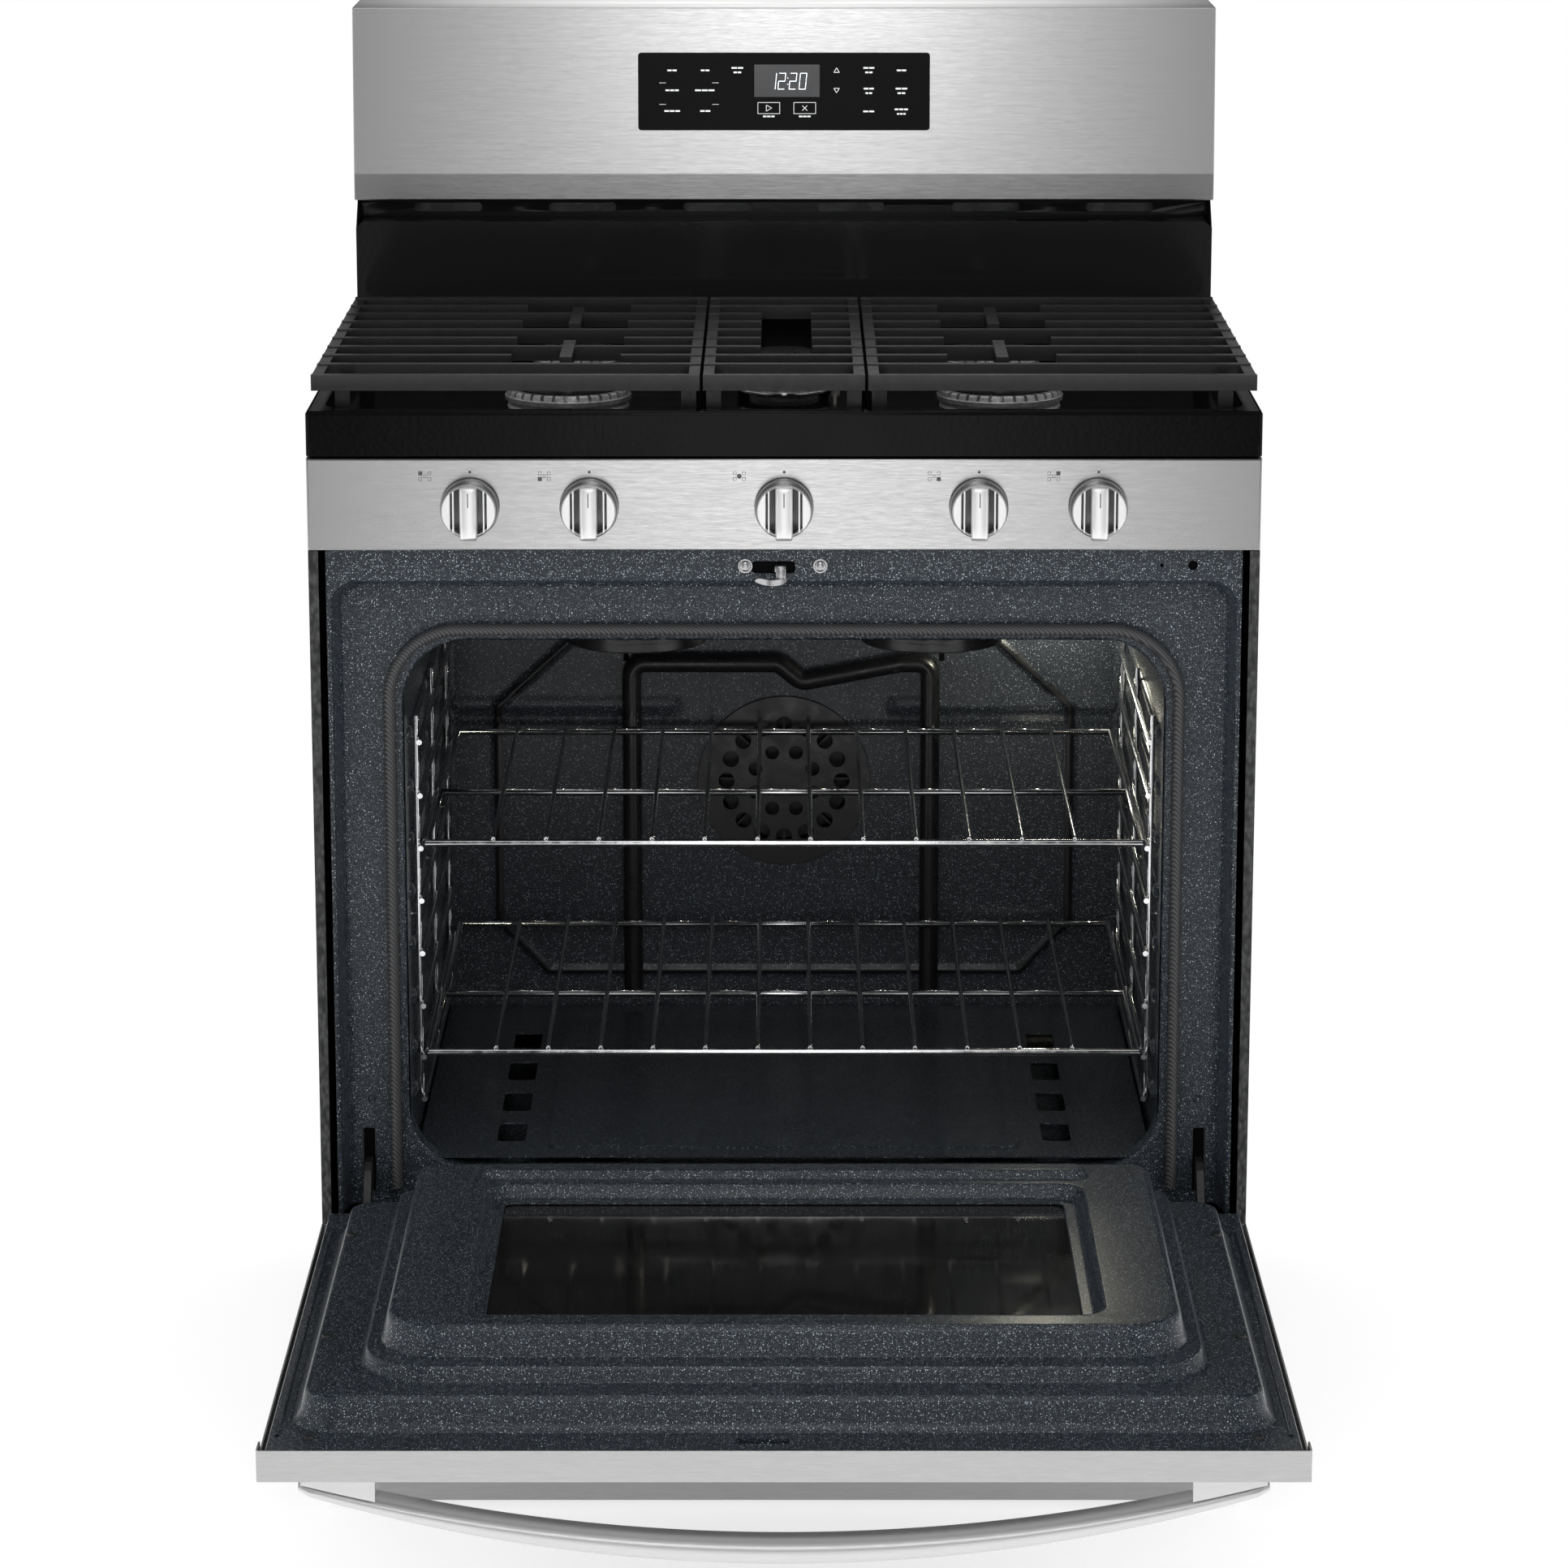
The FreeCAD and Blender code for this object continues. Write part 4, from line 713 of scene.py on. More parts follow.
def screw(bld, x, y, z, r, h, normal):
    """A low domed pan head; normal is 'Z' or 'Y' (facing -Y)."""
    prof = [(0.0, r), (h * 0.4, r), (h * 0.7, r * 0.92), (h * 0.92, r * 0.72), (h * 1.02, r * 0.42), (h * 1.05, r * 0.1)]
    if normal == "Z":
        bld.lathe("Z", (x, y, z), prof, 20)
    else:
        bld.lathe("Y", (x, y, z), [(-a, q) for a, q in prof], 20)


# ------------------------------------------------------------------ door liner
HW = 372.5


def door_loop(hw, yf, yb, z, r, n=10, rb=20):
    return [P(x, y, z) for x, y in rrect(-hw, hw, yf, yb, rb, n, r)]


L = Build()
foot = door_loop(360.5, -515.5, -44.0, 250.0, 33, rb=16)
steps = [
    foot,
    door_loop(359.0, -514.0, -44.3, 250.5, 32, rb=16), door_loop(357.0, -512.0, -44.8, 252.5, 31, rb=16),
    door_loop(354.8, -510.2, -45.4, 256.0, 30, rb=16), door_loop(353.0, -509.0, -46.0, 260.0, 29, rb=16),
    door_loop(350.6, -506.6, -46.6, 270.5, 28, rb=16), door_loop(349.4, -505.4, -47.2, 273.4, 27, rb=16),
    door_loop(347.2, -503.0, -48.2, 274.8, 26, rb=16), door_loop(345.0, -500.8, -49.2, 275.0, 25, rb=15),
    door_loop(316.0, -480.4, -49.6, 275.0, 50, rb=15), door_loop(313.6, -478.2, -50.0, 275.3, 50, rb=15),
    door_loop(311.9, -476.6, -50.4, 276.6, 50, rb=15), door_loop(309.9, -474.8, -51.0, 284.2, 49, rb=15),
    door_loop(308.4, -473.2, -51.6, 286.4, 48, rb=15), door_loop(306.0, -470.8, -52.4, 287.0, 47, rb=15),
    door_loop(301.2, -459.2, -52.8, 287.0, 46, rb=15), door_loop(299.0, -457.0, -53.2, 288.0, 45, rb=15),
    door_loop(297.6, -455.6, -53.8, 291.0, 44.6, rb=15), door_loop(294.8, -452.8, -55.0, 304.5, 43.6, rb=15),
    door_loop(293.6, -451.6, -55.8, 307.6, 43, rb=15), door_loop(291.4, -449.4, -57.0, 309.4, 42, rb=15),
    door_loop(288.4, -446.4, -58.6, 310.0, 41, rb=14),
]
L.loft(steps, True)
# plug top with the window opening
rim_out = door_loop(240.5, -427.0, -106.5, 310.0, 20, rb=20)
flat_face(L, [steps[-1], rim_out])
L.loft([rim_out, door_loop(238.4, -424.6, -108.6, 309.5, 19, rb=19), door_loop(236.6, -422.8, -110.4, 308.2, 18, rb=18),
        door_loop(235.2, -421.4, -111.8, 305.8, 17, rb=17), door_loop(233.6, -419.8, -113.4, 301.0, 16, rb=16),
        door_loop(231.8, -418.0, -115.2, 299.3, 15, rb=15), door_loop(229.0, -415.4, -117.8, 299.0, 14, rb=14),
        door_loop(223.2, -410.0, -123.2, 299.0, 9, rb=9), door_loop(222.2, -409.2, -123.9, 298.6, 8.4, rb=8.4),
        door_loop(222.0, -409.0, -124.0, 297.4, 8, rb=8)], True)
# ridge at the hinge end of the plug
ridge = [door_loop(244.5, -98.0, -70.6, 309.9, 9, rb=9), door_loop(243.0, -96.6, -71.8, 310.6, 9, rb=9),
         door_loop(241.6, -95.2, -73.0, 312.6, 8.4, rb=8.4), door_loop(240.4, -94.0, -74.2, 315.0, 8, rb=8),
         door_loop(239.0, -92.6, -75.6, 316.1, 7, rb=7), door_loop(236.5, -90.2, -78.0, 316.4, 5, rb=5)]
L.loft(ridge, True, (False, True))
# flange with the latch slot and the hinge notches
ye = -548.3
notch = [(332.5, -2.0), (332.5, -43.0), (352.5, -43.0), (352.5, -2.0)]
outer = [(-HW, ye), (HW, ye), (HW, -2.0), (352.5, -2.0), (352.5, -43.0), (332.5, -43.0), (332.5, -2.0),
         (-332.5, -2.0), (-332.5, -43.0), (-352.5, -43.0), (-352.5, -2.0), (-HW, -2.0)]
slot = [P(x, y, 250.0) for x, y in rrect(-35, 4, -535.4, -524.6, 3.0, 4)]
flat_face(L, [[P(x, y, 250.0) for x, y in outer], foot, slot])
L.loft([slot, [P(x, y, 243.0) for x, y in rrect(-35, 4, -535.4, -524.6, 3.0, 4)]], True)
# rolled side edges and the fold at the top edge of the door
for s in (-1, 1):
    a = [(s * HW, 250.0), (s * (HW + 0.6), 249.3), (s * (HW + 0.8), 246.0), (s * (HW + 0.8), 229.0)]
    L.loft([[P(x, ye, z) for x, z in a], [P(x, -2.0, z) for x, z in a]], False)
    # low side bead that runs along the flange
    bead = []
    for k in range(9):
        t = math.pi * k / 8
        bead.append((s * (367.0 + 1.6 * math.cos(t)), 250.0 + 1.5 * math.sin(t)))
    L.loft([[P(x, -520.0, z) for x, z in bead], [P(x, -52.0, z) for x, z in bead]], False)
door_liner = L.make("liner_sheet", "porcelain", "oven_door", slot="porcelain", replaces=("door_liner",))
weighted(door_liner)

K = Build()
# the latch slot is a well lined with near-black blocks as painted shade, open in the middle for the hook
K.block(-35.6, 4.6, -536.0, -535.5, 240.5, 249.5, 0.0)
K.block(-35.6, 4.6, -524.5, -524.0, 240.5, 249.5, 0.0)
K.block(-35.6, -35.1, -535.5, -524.5, 240.5, 249.5, 0.0)
K.block(4.1, 4.6, -535.5, -524.5, 240.5, 249.5, 0.0)
K.block(-35.1, 4.1, -535.5, -524.5, 240.5, 241.2, 0.0)
# near-black blocks under the hinge notches: painted shade
for s in (-1, 1):
    K.block(s * 342.5 - 9.4, s * 342.5 + 9.4, -42.4, -8.0, 241.0, 243.0, 0.2, 1)
K.make("liner_painted_shade_gaps", "painted_shade_black", "oven_door", slot="dark_paint")

K = Build()
for s in (-1, 1):
    for x, y, z in ((343.4, -134.8, 275.0), (342.2, -376.5, 275.0), (343.0, -524.7, 250.0)):
        screw(K, s * x, y, z, 4.0, 2.2, "Z")
        for k in range(2):
            c, w = (2.6, 0.45) if k == 0 else (0.45, 2.6)
            K.block(s * x - c, s * x + c, y - w, y + w, z + 2.0, z + 2.42, 0.0)
K.make("liner_screws", "dark_paint", "oven_door", slot="dark_paint")

# ------------------------------------------------------------------ oven front frame
lo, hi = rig.box("oven_front_frame")
ZB = lo.z * 1000 + 0.3
ZT = hi.z * 1000
XO = hi.x * 1000


def arch(hw, top, y, r, n=10):
    pts = [(-hw, ZB)]
    for i in range(n + 1):
        t = math.pi - 0.5 * math.pi * i / n
        pts.append((-hw + r + r * math.cos(t), top - r + r * math.sin(t)))
    for i in range(n + 1):
        t = 0.5 * math.pi - 0.5 * math.pi * i / n
        pts.append((hw - r + r * math.cos(t), top - r + r * math.sin(t)))
    pts.append((hw, ZB))
    return [P(x, y, z) for x, z in pts]


F = Build()
archs = [arch(364.6, 777.6, 10.0, 22), arch(363.6, 776.6, 10.25, 22), arch(362.8, 775.8, 11.2, 21), arch(361.9, 774.9, 14.0, 21),
         arch(359.0, 772.0, 31.0, 20), arch(357.6, 770.6, 35.4, 20), arch(355.8, 768.8, 37.6, 19), arch(353.2, 766.2, 38.5, 18)]
F.loft(archs, False)
rim_poly = [P(-XO, 10, ZB), P(-XO, 10, ZT), P(XO, 10, ZT), P(XO, 10, ZB)] + list(reversed(archs[0]))
hole_a = [P(x, 10, z) for x, z in rrect(-26, 9, 782.5, 792.5, 3.0, 4)]
hole_b = [P(302 + 1.6 * math.cos(t), 10, 789 + 1.6 * math.sin(t)) for t in (2 * math.pi * i / 12 for i in range(12))]
hole_c = [P(327 + 4.0 * math.cos(t), 10, 789 + 4.0 * math.sin(t)) for t in (2 * math.pi * i / 20 for i in range(20))]
flat_face(F, [rim_poly, hole_a, hole_b, hole_c])
for h in (hole_a, hole_b, hole_c):
    F.loft([h, [p + Vector((0, 0.0035, 0)) for p in h]], True)


def opening(hw, z0, z1, y, r, n=12):
    return [P(x, y, z) for x, z in rrect(-hw, hw, z0, z1, r, n)]


mouth = opening(312.2, 272.4, 725.6, 38.5, 56)
hs = [[P(s * 342.5 + x, 38.5, z) for x, z in rrect(-5.5, 5.5, 256, 311, 2.5, 3)] for s in (-1, 1)]
dim = [[P(s * 340 + 3.4 * math.cos(t), 38.5, 336 + 3.4 * math.sin(t)) for t in (2 * math.pi * i / 16 for i in range(16))] for s in (-1, 1)]
flat_face(F, [archs[-1], mouth] + hs + dim)
for h in hs:
    F.loft([h, [p + Vector((0, 0.004, 0)) for p in h]], True)
for h in dim:
    c = sum(h, Vector()) / len(h)
    F.loft([h, [c + (p - c) * 0.6 + Vector((0, 0.0016, 0)) for p in h]], True, (False, True))
F.loft([mouth, opening(310.6, 274.0, 724.0, 38.9, 54.6), opening(309.4, 275.2, 722.8, 40.2, 53.6),
        opening(308.9, 275.7, 722.3, 42.5, 53.2), opening(308.4, 276.2, 721.8, 56.0, 52.8)], True)
frame_piece = F.make("front_frame_sheet", "porcelain", "chassis", slot="porcelain", replaces=("oven_front_frame",))
weighted(frame_piece)

# near-black blocks behind the latch holes and the hinge slots: painted shade
K = Build()
K.block(-26.6, 9.6, 12.6, 34.0, 781.8, 793.2, 0.0)
K.block(300, 304, 13.2, 16, 787, 791, 0.0)
K.block(322.5, 331.5, 13.2, 16, 784.5, 793.5, 0.0)
for s in (-1, 1):
    K.block(s * 342.5 - 6.0, s * 342.5 + 6.0, 42.4, 44.4, 255.5, 311.5, 0.0)
K.make("frame_painted_shade_gaps", "painted_shade_black", "chassis", slot="dark_paint")

K = Build()
for x in (-31.0, 29.0):
    screw(K, x, 10.0, 788.5, 4.6, 2.4, "Y")
    K.lathe("Y", (x, 10, 788.5), [(-0.1, 6.0), (-0.5, 5.7), (-0.55, 4.4)], 24)
K.make("latch_screws", "latch_metal", "chassis", slot="chrome_wire")

# latch hook: a bent strip with rounded tip
K = Build()
K.block(-7.5, 1.5, 2.0, 30.0, 784.6, 789.6, 0.8)
K.block(-6.5, 1.6, 0.6, 3.4, 777.0, 788.6, 1.0)
tipz = []
for k in range(13):
    t = k / 12
    x = 2.0 - 25.0 * t
    zc = 778.4 - 1.6 * math.sin(math.pi * min(1.0, t * 1.15)) + 1.0 * t
    hz = 2.3 * math.sqrt(max(0.06, 1 - abs(2 * t - 1) ** 6))
    y = 0.4 - 4.2 * smooth01_(t * 1.6)
    tipz.append([P(x, y - 1.3, zc - hz), P(x, y + 1.3, zc - hz), P(x, y + 1.3, zc + hz), P(x, y - 1.3, zc + hz)])
K.loft(tipz, True, (True, True))
K.make("latch_strip", "latch_metal", "latch_hook", slot="chrome_wire", replaces=("latch_hook",), sharp=40)

# ------------------------------------------------------------------ gasket: a soft tube of oval section
G = Build()
path = arc_bend([(-319.45, 0, 262), (-319.45, 0, 731.95), (319.45, 0, 731.95), (319.45, 0, 262)], 57.2, 14)
loops = []
for i, p in enumerate(path):
    a = Vector(path[max(i - 1, 0)])
    b = Vector(path[min(i + 1, len(path) - 1)])
    d = (b - a).normalized()
    nrm = Vector((-d.z, 0, d.x))
    loop = []
    for k in range(16):
        t = 2 * math.pi * k / 16
        loop.append(P(p[0] + nrm.x * 4.7 * math.cos(t), 32.0 + 6.3 * math.sin(t), p[2] + nrm.z * 4.7 * math.cos(t)))
    loops.append(loop)
G.loft(loops, True, (True, True))
G.make("gasket_tube", "gasket_rubber", "chassis", slot="gasket_rubber", replaces=("oven_gasket",))

# ------------------------------------------------------------------ cavity
C = Build()
walls = [(y, 308.0) for y in (52.0, 60.0, 120.0, 200.0, 280.0, 360.0, 440.0, 488.0)]


def cav_loop(hw, z0, z1, y, r, n=8):
    return [P(x, y, z) for x, z in rrect(-hw, hw, z0, z1, r, n)]


cl = [cav_loop(308.0, 256.0, 722.0, y, 31.0) for y in (41.0, 52.0, 60.0, 120.0, 200.0, 280.0, 360.0, 440.0, 486.0)]
cl += [cav_loop(307.4, 256.6, 721.4, 493.0, 30.4), cav_loop(305.2, 258.8, 719.2, 499.5, 28.4), cav_loop(301.5, 262.5, 715.5, 503.4, 25.0), cav_loop(297.0, 267.0, 711.0, 504.8, 21.0)]
C.loft(cl, True)
# long ribs on both side walls
for s in (-1, 1):
    for z in (331, 367, 411, 456, 501, 545.5, 590, 635):
        pts = [(s * (308.2 - 3.4 * math.sin(math.pi * k / 8)), z + 6.4 * math.cos(math.pi * k / 8)) for k in range(9)]
        C.loft([[P(s * 308.2, 64, q[1] * 0.0 + z) for q in pts], [P(x, 74, q) for x, q in pts], [P(x, 482, q) for x, q in pts], [P(s * 308.2, 492, z) for q in pts]], False)
cav = C.make("cavity_walls", "porcelain_dark", "chassis", slot="porcelain", replaces=("oven_cavity",), sharp=50)

# rear wall as a pressed sheet with an eight-sided bead, a cross rib and holes
GX, GZ = 150, 112
x0w, x1w, z0w, z1w = -299.0, 299.0, 265.0, 713.0
octo = [(-258, 365), (-258, 565), (-194, 623), (-194, 720), (194, 720), (194, 623), (258, 565), (258, 365), (214, 318), (-214, 318)]
segs = [((-214, 318), (-258, 365)), ((-258, 365), (-258, 565)), ((-258, 565), (-178, 638)), ((178, 638), (258, 565)),
        ((258, 565), (258, 365)), ((258, 365), (214, 318)), ((214, 318), (-214, 318)), ((-178, 638), (-120, 690)), ((178, 638), (120, 690))]


def seg_dist(x, z, s):
    (ax, az), (bx, bz) = s
    t = max(0.0, min(1.0, ((x - ax) * (bx - ax) + (z - az) * (bz - az)) / ((bx - ax) ** 2 + (bz - az) ** 2)))
    return math.hypot(x - ax - t * (bx - ax), z - az - t * (bz - az))


def smooth01(t):
    t = max(0.0, min(1.0, t))
    return t * t * (3 - 2 * t)


GX, GZ = 240, 180
verts, faces, dark = [], [], []
for j in range(GZ + 1):
    for i in range(GX + 1):
        x = x0w + (x1w - x0w) * i / GX
        z = z0w + (z1w - z0w) * j / GZ
        d = min(seg_dist(x, z, s) for s in segs)
        dep = -3.2 * (1 - smooth01((d - 1.6) / 3.0))
        rib = abs(z - 566)
        out = 0.0 if abs(x) < 90 else 2.2 * (1 - smooth01((rib - 1.5) / 9.0)) * smooth01((abs(x) - 90) / 12)
        verts.append(P(x, 504.9 + dep - out, z))
for j in range(GZ):
    for i in range(GX):
        x = x0w + (x1w - x0w) * (i + 0.5) / GX
        z = z0w + (z1w - z0w) * (j + 0.5) / GZ
        if math.hypot(x, z - 496) < 70 or math.hypot(x - 235, z - 676) < 19 or math.hypot(abs(x) - 142, z - 610) < 3.4:
            continue
        a = j * (GX + 1) + i
        faces.append((a, a + 1, a + GX + 2, a + GX + 1))
        dark.append(min(seg_dist(x, z, s) for s in segs) < 4.2)
R = Build()
R.add(verts, faces)
rear = R.make("cavity_rear_sheet", "porcelain_dark", "chassis", slot="porcelain", sharp=80)
# black enamel on the faces along the bead: painted shade that darkens the bead lines
rear.data.materials.append(MAT["cap_enamel"].m)
for poly in rear.data.polygons:
    c = poly.center
    x, z = c.x * 1000, c.z * 1000
    if min(seg_dist(x, z, s) for s in segs) < 2.9:
        poly.material_index = 1
# near-black blocks behind the two small rear-wall holes: painted shade
K = Build()
for s in (-1, 1):
    K.block(s * 142 - 5, s * 142 + 5, 505.3, 506, 605, 615, 0.0)
K.make("cavity_hole_painted_shade", "painted_shade_black", "chassis", slot="dark_paint")

# ------------------------------------------------------------------ knobs
KN = {"left_rear": -249.7, "left_front": -154.8, "centre": 0.0, "right_front": 154.8, "right_rear": 249.7}
for name, ax in KN.items():
    cz = 838.3
    B = Build()
    B.lathe("Y", (ax, 0, cz), [(-3.7, 20.5), (-3.7, 23.2), (-4.1, 23.5), (-6.6, 23.5), (-7.4, 23.1), (-7.9, 22.5), (-19.0, 22.1), (-20.2, 21.7), (-20.9, 20.9),
                               (-21.0, 19.8), (-20.6, 19.5), (-9.2, 19.3), (-9.0, 18.9), (-9.0, 4.0)], 80)
    B.lathe("Y", (ax, 0, cz + 20.6), [(-20.9, 0.75), (-21.25, 0.75)], 12)
    weighted(B.make("knob_skirt_" + name, "knob_skirt", "knob_" + name, slot="knob_metal", sharp=28))
    B = Build()
    # two D-shaped side segments
    for s in (-1, 1):
        R1 = 21.3
        t0 = math.acos(14.4 / R1)
        pts = [(ax + s * R1 * math.cos(t), cz + R1 * math.sin(t)) for t in (-t0 + 2 * t0 * k / 18 for k in range(19))]
        prism(B, pts, -9.0, -23.2, 1.4)
        R2 = 21.4
        z2 = math.sqrt(R2 * R2 - 12.9 ** 2)
        prism(B, [(ax + s * 11.5, cz - z2), (ax + s * 12.7, cz - z2 + 0.6), (ax + s * 12.7, cz + z2 - 0.6), (ax + s * 11.5, cz + z2)], -9.0, -23.6, 0.35)
    # grip bar with softly rounded long edges and a curved lower end
    w, top, bot = 6.8, 20.2, 22.8
    sec = [(-w, -9.0), (-w, -26.6), (-w + 0.35, -28.3), (-w + 1.3, -29.4), (-w + 2.8, -29.9), (0.0, -30.0), (w - 2.8, -29.9), (w - 1.3, -29.4), (w - 0.35, -28.3), (w, -26.6), (w, -9.0)]
    loops = []
    for z, k, dy in ((-bot, 0.93, 4.4), (-bot + 0.5, 0.96, 2.6), (-bot + 1.6, 0.99, 1.2), (-bot + 3.4, 1.0, 0.3), (-12.0, 1.0, 0.0), (0.0, 1.0, 0.0), (12.0, 1.0, 0.0),
                     (top - 3.0, 1.0, 0.2), (top - 1.2, 0.995, 0.8), (top - 0.3, 0.98, 1.8), (top, 0.95, 3.0)):
        loops.append([P(ax + x * k, y + (dy if y < -20 else 0.0), cz + z) for x, y in sec])
    B.loft(loops, True, (True, True))
    weighted(B.make("knob_body_" + name, "knob_metal", "knob_" + name, slot="knob_metal", replaces=("knob_" + name,), sharp=30))
    B = Build()
    for s in (-1, 1):
        z3 = math.sqrt(19.1 ** 2 - 11.5 ** 2)
        z4 = math.sqrt(19.1 ** 2 - 6.75 ** 2)
        prism(B, [(ax + s * 6.75, cz - z4), (ax + s * 11.5, cz - z3), (ax + s * 11.5, cz + z3), (ax + s * 6.75, cz + z4)], -8.6, -11.0, 0.2)
        z3 = math.sqrt(19.1 ** 2 - 14.6 ** 2)
        prism(B, [(ax + s * 12.7, cz - z3 - 1.4), (ax + s * 14.45, cz - z3), (ax + s * 14.45, cz + z3), (ax + s * 12.7, cz + z3 + 1.4)], -8.6, -16.5, 0.2)
    B.block(ax - 0.42, ax + 0.42, -30.12, -29.9, cz + 4.5, cz + 16.0, 0.0)
    B.make("knob_grooves_" + name, "knob_groove", "knob_" + name, slot="dark_paint")

# ------------------------------------------------------------------ panel marks beside the knobs
K = Build()
for i, (name, ax) in enumerate(KN.items()):
    K.lathe("Y", (ax + 0.2, 0, 866.3), [(0.05, 1.15), (-0.12, 1.15)], 16)
    ix, iz = ax - 35.5, 863.0
    marks = [(-3.6, 2.3), (-3.6, -2.3), (3.6, -2.3), (3.6, 2.3)]
    full = {"left_rear": 0, "left_front": 1, "centre": 4, "right_front": 2, "right_rear": 3}[name]
    for k, (dx, dz) in enumerate(marks):
        q = 1.35
        if k == full:
            K.block(ix + dx - q - 0.3, ix + dx + q + 0.3, -0.12, 0.05, iz + dz - q - 0.3, iz + dz + q + 0.3, 0.0)
        else:
            for (a0, a1, b0, b1) in ((-q, q, q - 0.3, q), (-q, q, -q, -q + 0.3), (-q, -q + 0.3, -q, q), (q - 0.3, q, -q, q)):
                K.block(ix + dx + a0, ix + dx + a1, -0.12, 0.05, iz + dz + b0, iz + dz + b1, 0.0)
    q = 1.25
    if full == 4:
        K.lathe("Y", (ix, 0, iz), [(0.05, 1.9), (-0.12, 1.9)], 16)
    else:
        for (a0, a1, b0, b1) in ((-q, q, q - 0.3, q), (-q, q, -q, -q + 0.3), (-q, -q + 0.3, -q, q), (q - 0.3, q, -q, q)):
            K.block(ix + a0, ix + a1, -0.12, 0.05, iz + b0, iz + b1, 0.0)
K.make("panel_marks", "print_grey", "chassis", slot="dark_paint")

# ------------------------------------------------------------------ display graphics on the tilted glass
glo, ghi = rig.box("display_glass")
TILT = 13.0 / 144.5
gy0 = (glo.y - FP) * 1000.0          # front of the glass at its lower edge
gz0 = glo.z * 1000.0


def D(x, z, lift=0.12):
    return P(x, gy0 + (z - gz0) * TILT - lift, z)


def quad(bld, x0, x1, z0, z1, lift=0.12):
    t = 0.1
    a = [D(x0, z0, lift), D(x1, z0, lift), D(x1, z1, lift), D(x0, z1, lift)]
    b = [p + Vector((0, t / 1000.0, 0)) for p in a]
    bld.add(a + b, [(0, 1, 2, 3), (7, 6, 5, 4), (0, 4, 5, 1), (1, 5, 6, 2), (2, 6, 7, 3), (3, 7, 4, 0)])


def tri(bld, pts, lift=0.12):
    a = [D(x, z, lift) for x, z in pts]
    b = [p + Vector((0, 0.0001, 0)) for p in a]
    n = len(a)
    bld.add(a + b, [tuple(range(n)), tuple(reversed(range(n, 2 * n)))] + [(i, i + n, (i + 1) % n + n, (i + 1) % n) for i in range(n)])


def outline(bld, x0, x1, z0, z1, w=0.5):
    quad(bld, x0, x1, z1 - w, z1)
    quad(bld, x0, x1, z0, z0 + w)
    quad(bld, x0, x0 + w, z0, z1)
    quad(bld, x1 - w, x1, z0, z1)


def px(u, v):
    """Position on the tilted glass of a printed mark, from a layout grid of the display."""
    z = 1115.0
    for _ in range(6):
        y = gy0 + (z - gz0) * TILT
        s = 7583.0 / (4996.0 + y)
        z = 1720.0 - (v + 720.0) / s
    return (u - 966.9) / s, z


K = Build()
# lower, upper and middle rows of generic key marks
for u, v, w, rows in ((831.5, 86, 13, 1), (871.5, 86, 12, 1), (910.5, 83, 16, 2), (831.5, 110, 18, 1), (871.0, 110, 26, 1), (831.5, 135, 21, 1), (871.5, 135, 14, 1),
                      (1069.5, 83, 15, 2), (1109.0, 86, 13, 1), (1069.5, 108, 14, 2), (1109.0, 108, 16, 2), (1069.5, 135.5, 15, 1), (1109.0, 133, 18, 2)):
    x, z = px(u, v)
    for r in range(rows):
        hw = (w * 0.5 if r == 0 else w * 0.34) * 0.685
        zz = z - r * 3.9
        n = 3 if w > 17 else 2
        for k in range(n):
            a = x - hw + 2 * hw * k / n
            quad(K, a + 0.35, a + 2 * hw / n - 0.35, zz - 0.72, zz + 0.72)
for v in (101, 127):
    for u0, u1 in ((816, 824), (880, 888)):
        x0, z = px(u0, v)
        x1, _ = px(u1, v)
        quad(K, x0, x1, z - 0.16, z + 0.16)
for u, pic in ((948.5, "play"), (992.0, "stop")):
    x0, z1 = px(u - 13.5, 124.5)
    x1, z0 = px(u + 13.5, 138.5)
    outline(K, x0, x1, z0, z1, 0.42)
    xm, zm = (x0 + x1) / 2, (z0 + z1) / 2
    if pic == "play":
        for a, b in (((-2.2, -2.6), (-2.2, 2.6)), ((-2.2, 2.6), (2.6, 0)), ((2.6, 0), (-2.2, -2.6))):
            dx, dz = b[0] - a[0], b[1] - a[1]
            l = math.hypot(dx, dz)
            nx, nz = -dz / l * 0.22, dx / l * 0.22
            tri(K, [(xm + a[0] + nx, zm + a[1] + nz), (xm + a[0] - nx, zm + a[1] - nz), (xm + b[0] - nx, zm + b[1] - nz), (xm + b[0] + nx, zm + b[1] + nz)])
    else:
        for a, b in (((-2.2, -2.2), (2.2, 2.2)), ((-2.2, 2.2), (2.2, -2.2))):
            dx, dz = b[0] - a[0], b[1] - a[1]
            l = math.hypot(dx, dz)
            nx, nz = -dz / l * 0.24, dx / l * 0.24
            tri(K, [(xm + a[0] + nx, zm + a[1] + nz), (xm + a[0] - nx, zm + a[1] - nz), (xm + b[0] - nx, zm + b[1] - nz), (xm + b[0] + nx, zm + b[1] + nz)])
    for k in (-1, 0, 1):
        quad(K, xm + k * 3.6 - 1.5, xm + k * 3.6 + 1.5, z0 - 2.9, z0 - 1.5)
for v, up in ((86, 1), (110, -1)):
    x, z = px(1030.5, v)
    p3 = [(x - 2.4, z - 1.7 * up), (x + 2.4, z - 1.7 * up), (x, z + 2.2 * up)]
    for k in range(3):
        a, b = p3[k], p3[(k + 1) % 3]
        dx, dz = b[0] - a[0], b[1] - a[1]
        l = math.hypot(dx, dz)
        nx, nz = -dz / l * 0.25, dx / l * 0.25
        tri(K, [(a[0] + nx, a[1] + nz), (a[0] - nx, a[1] - nz), (b[0] - nx, b[1] - nz), (b[0] + nx, b[1] + nz)])
K.make("display_marks", "print_white_painted_glow", "chassis", slot="black_glass")

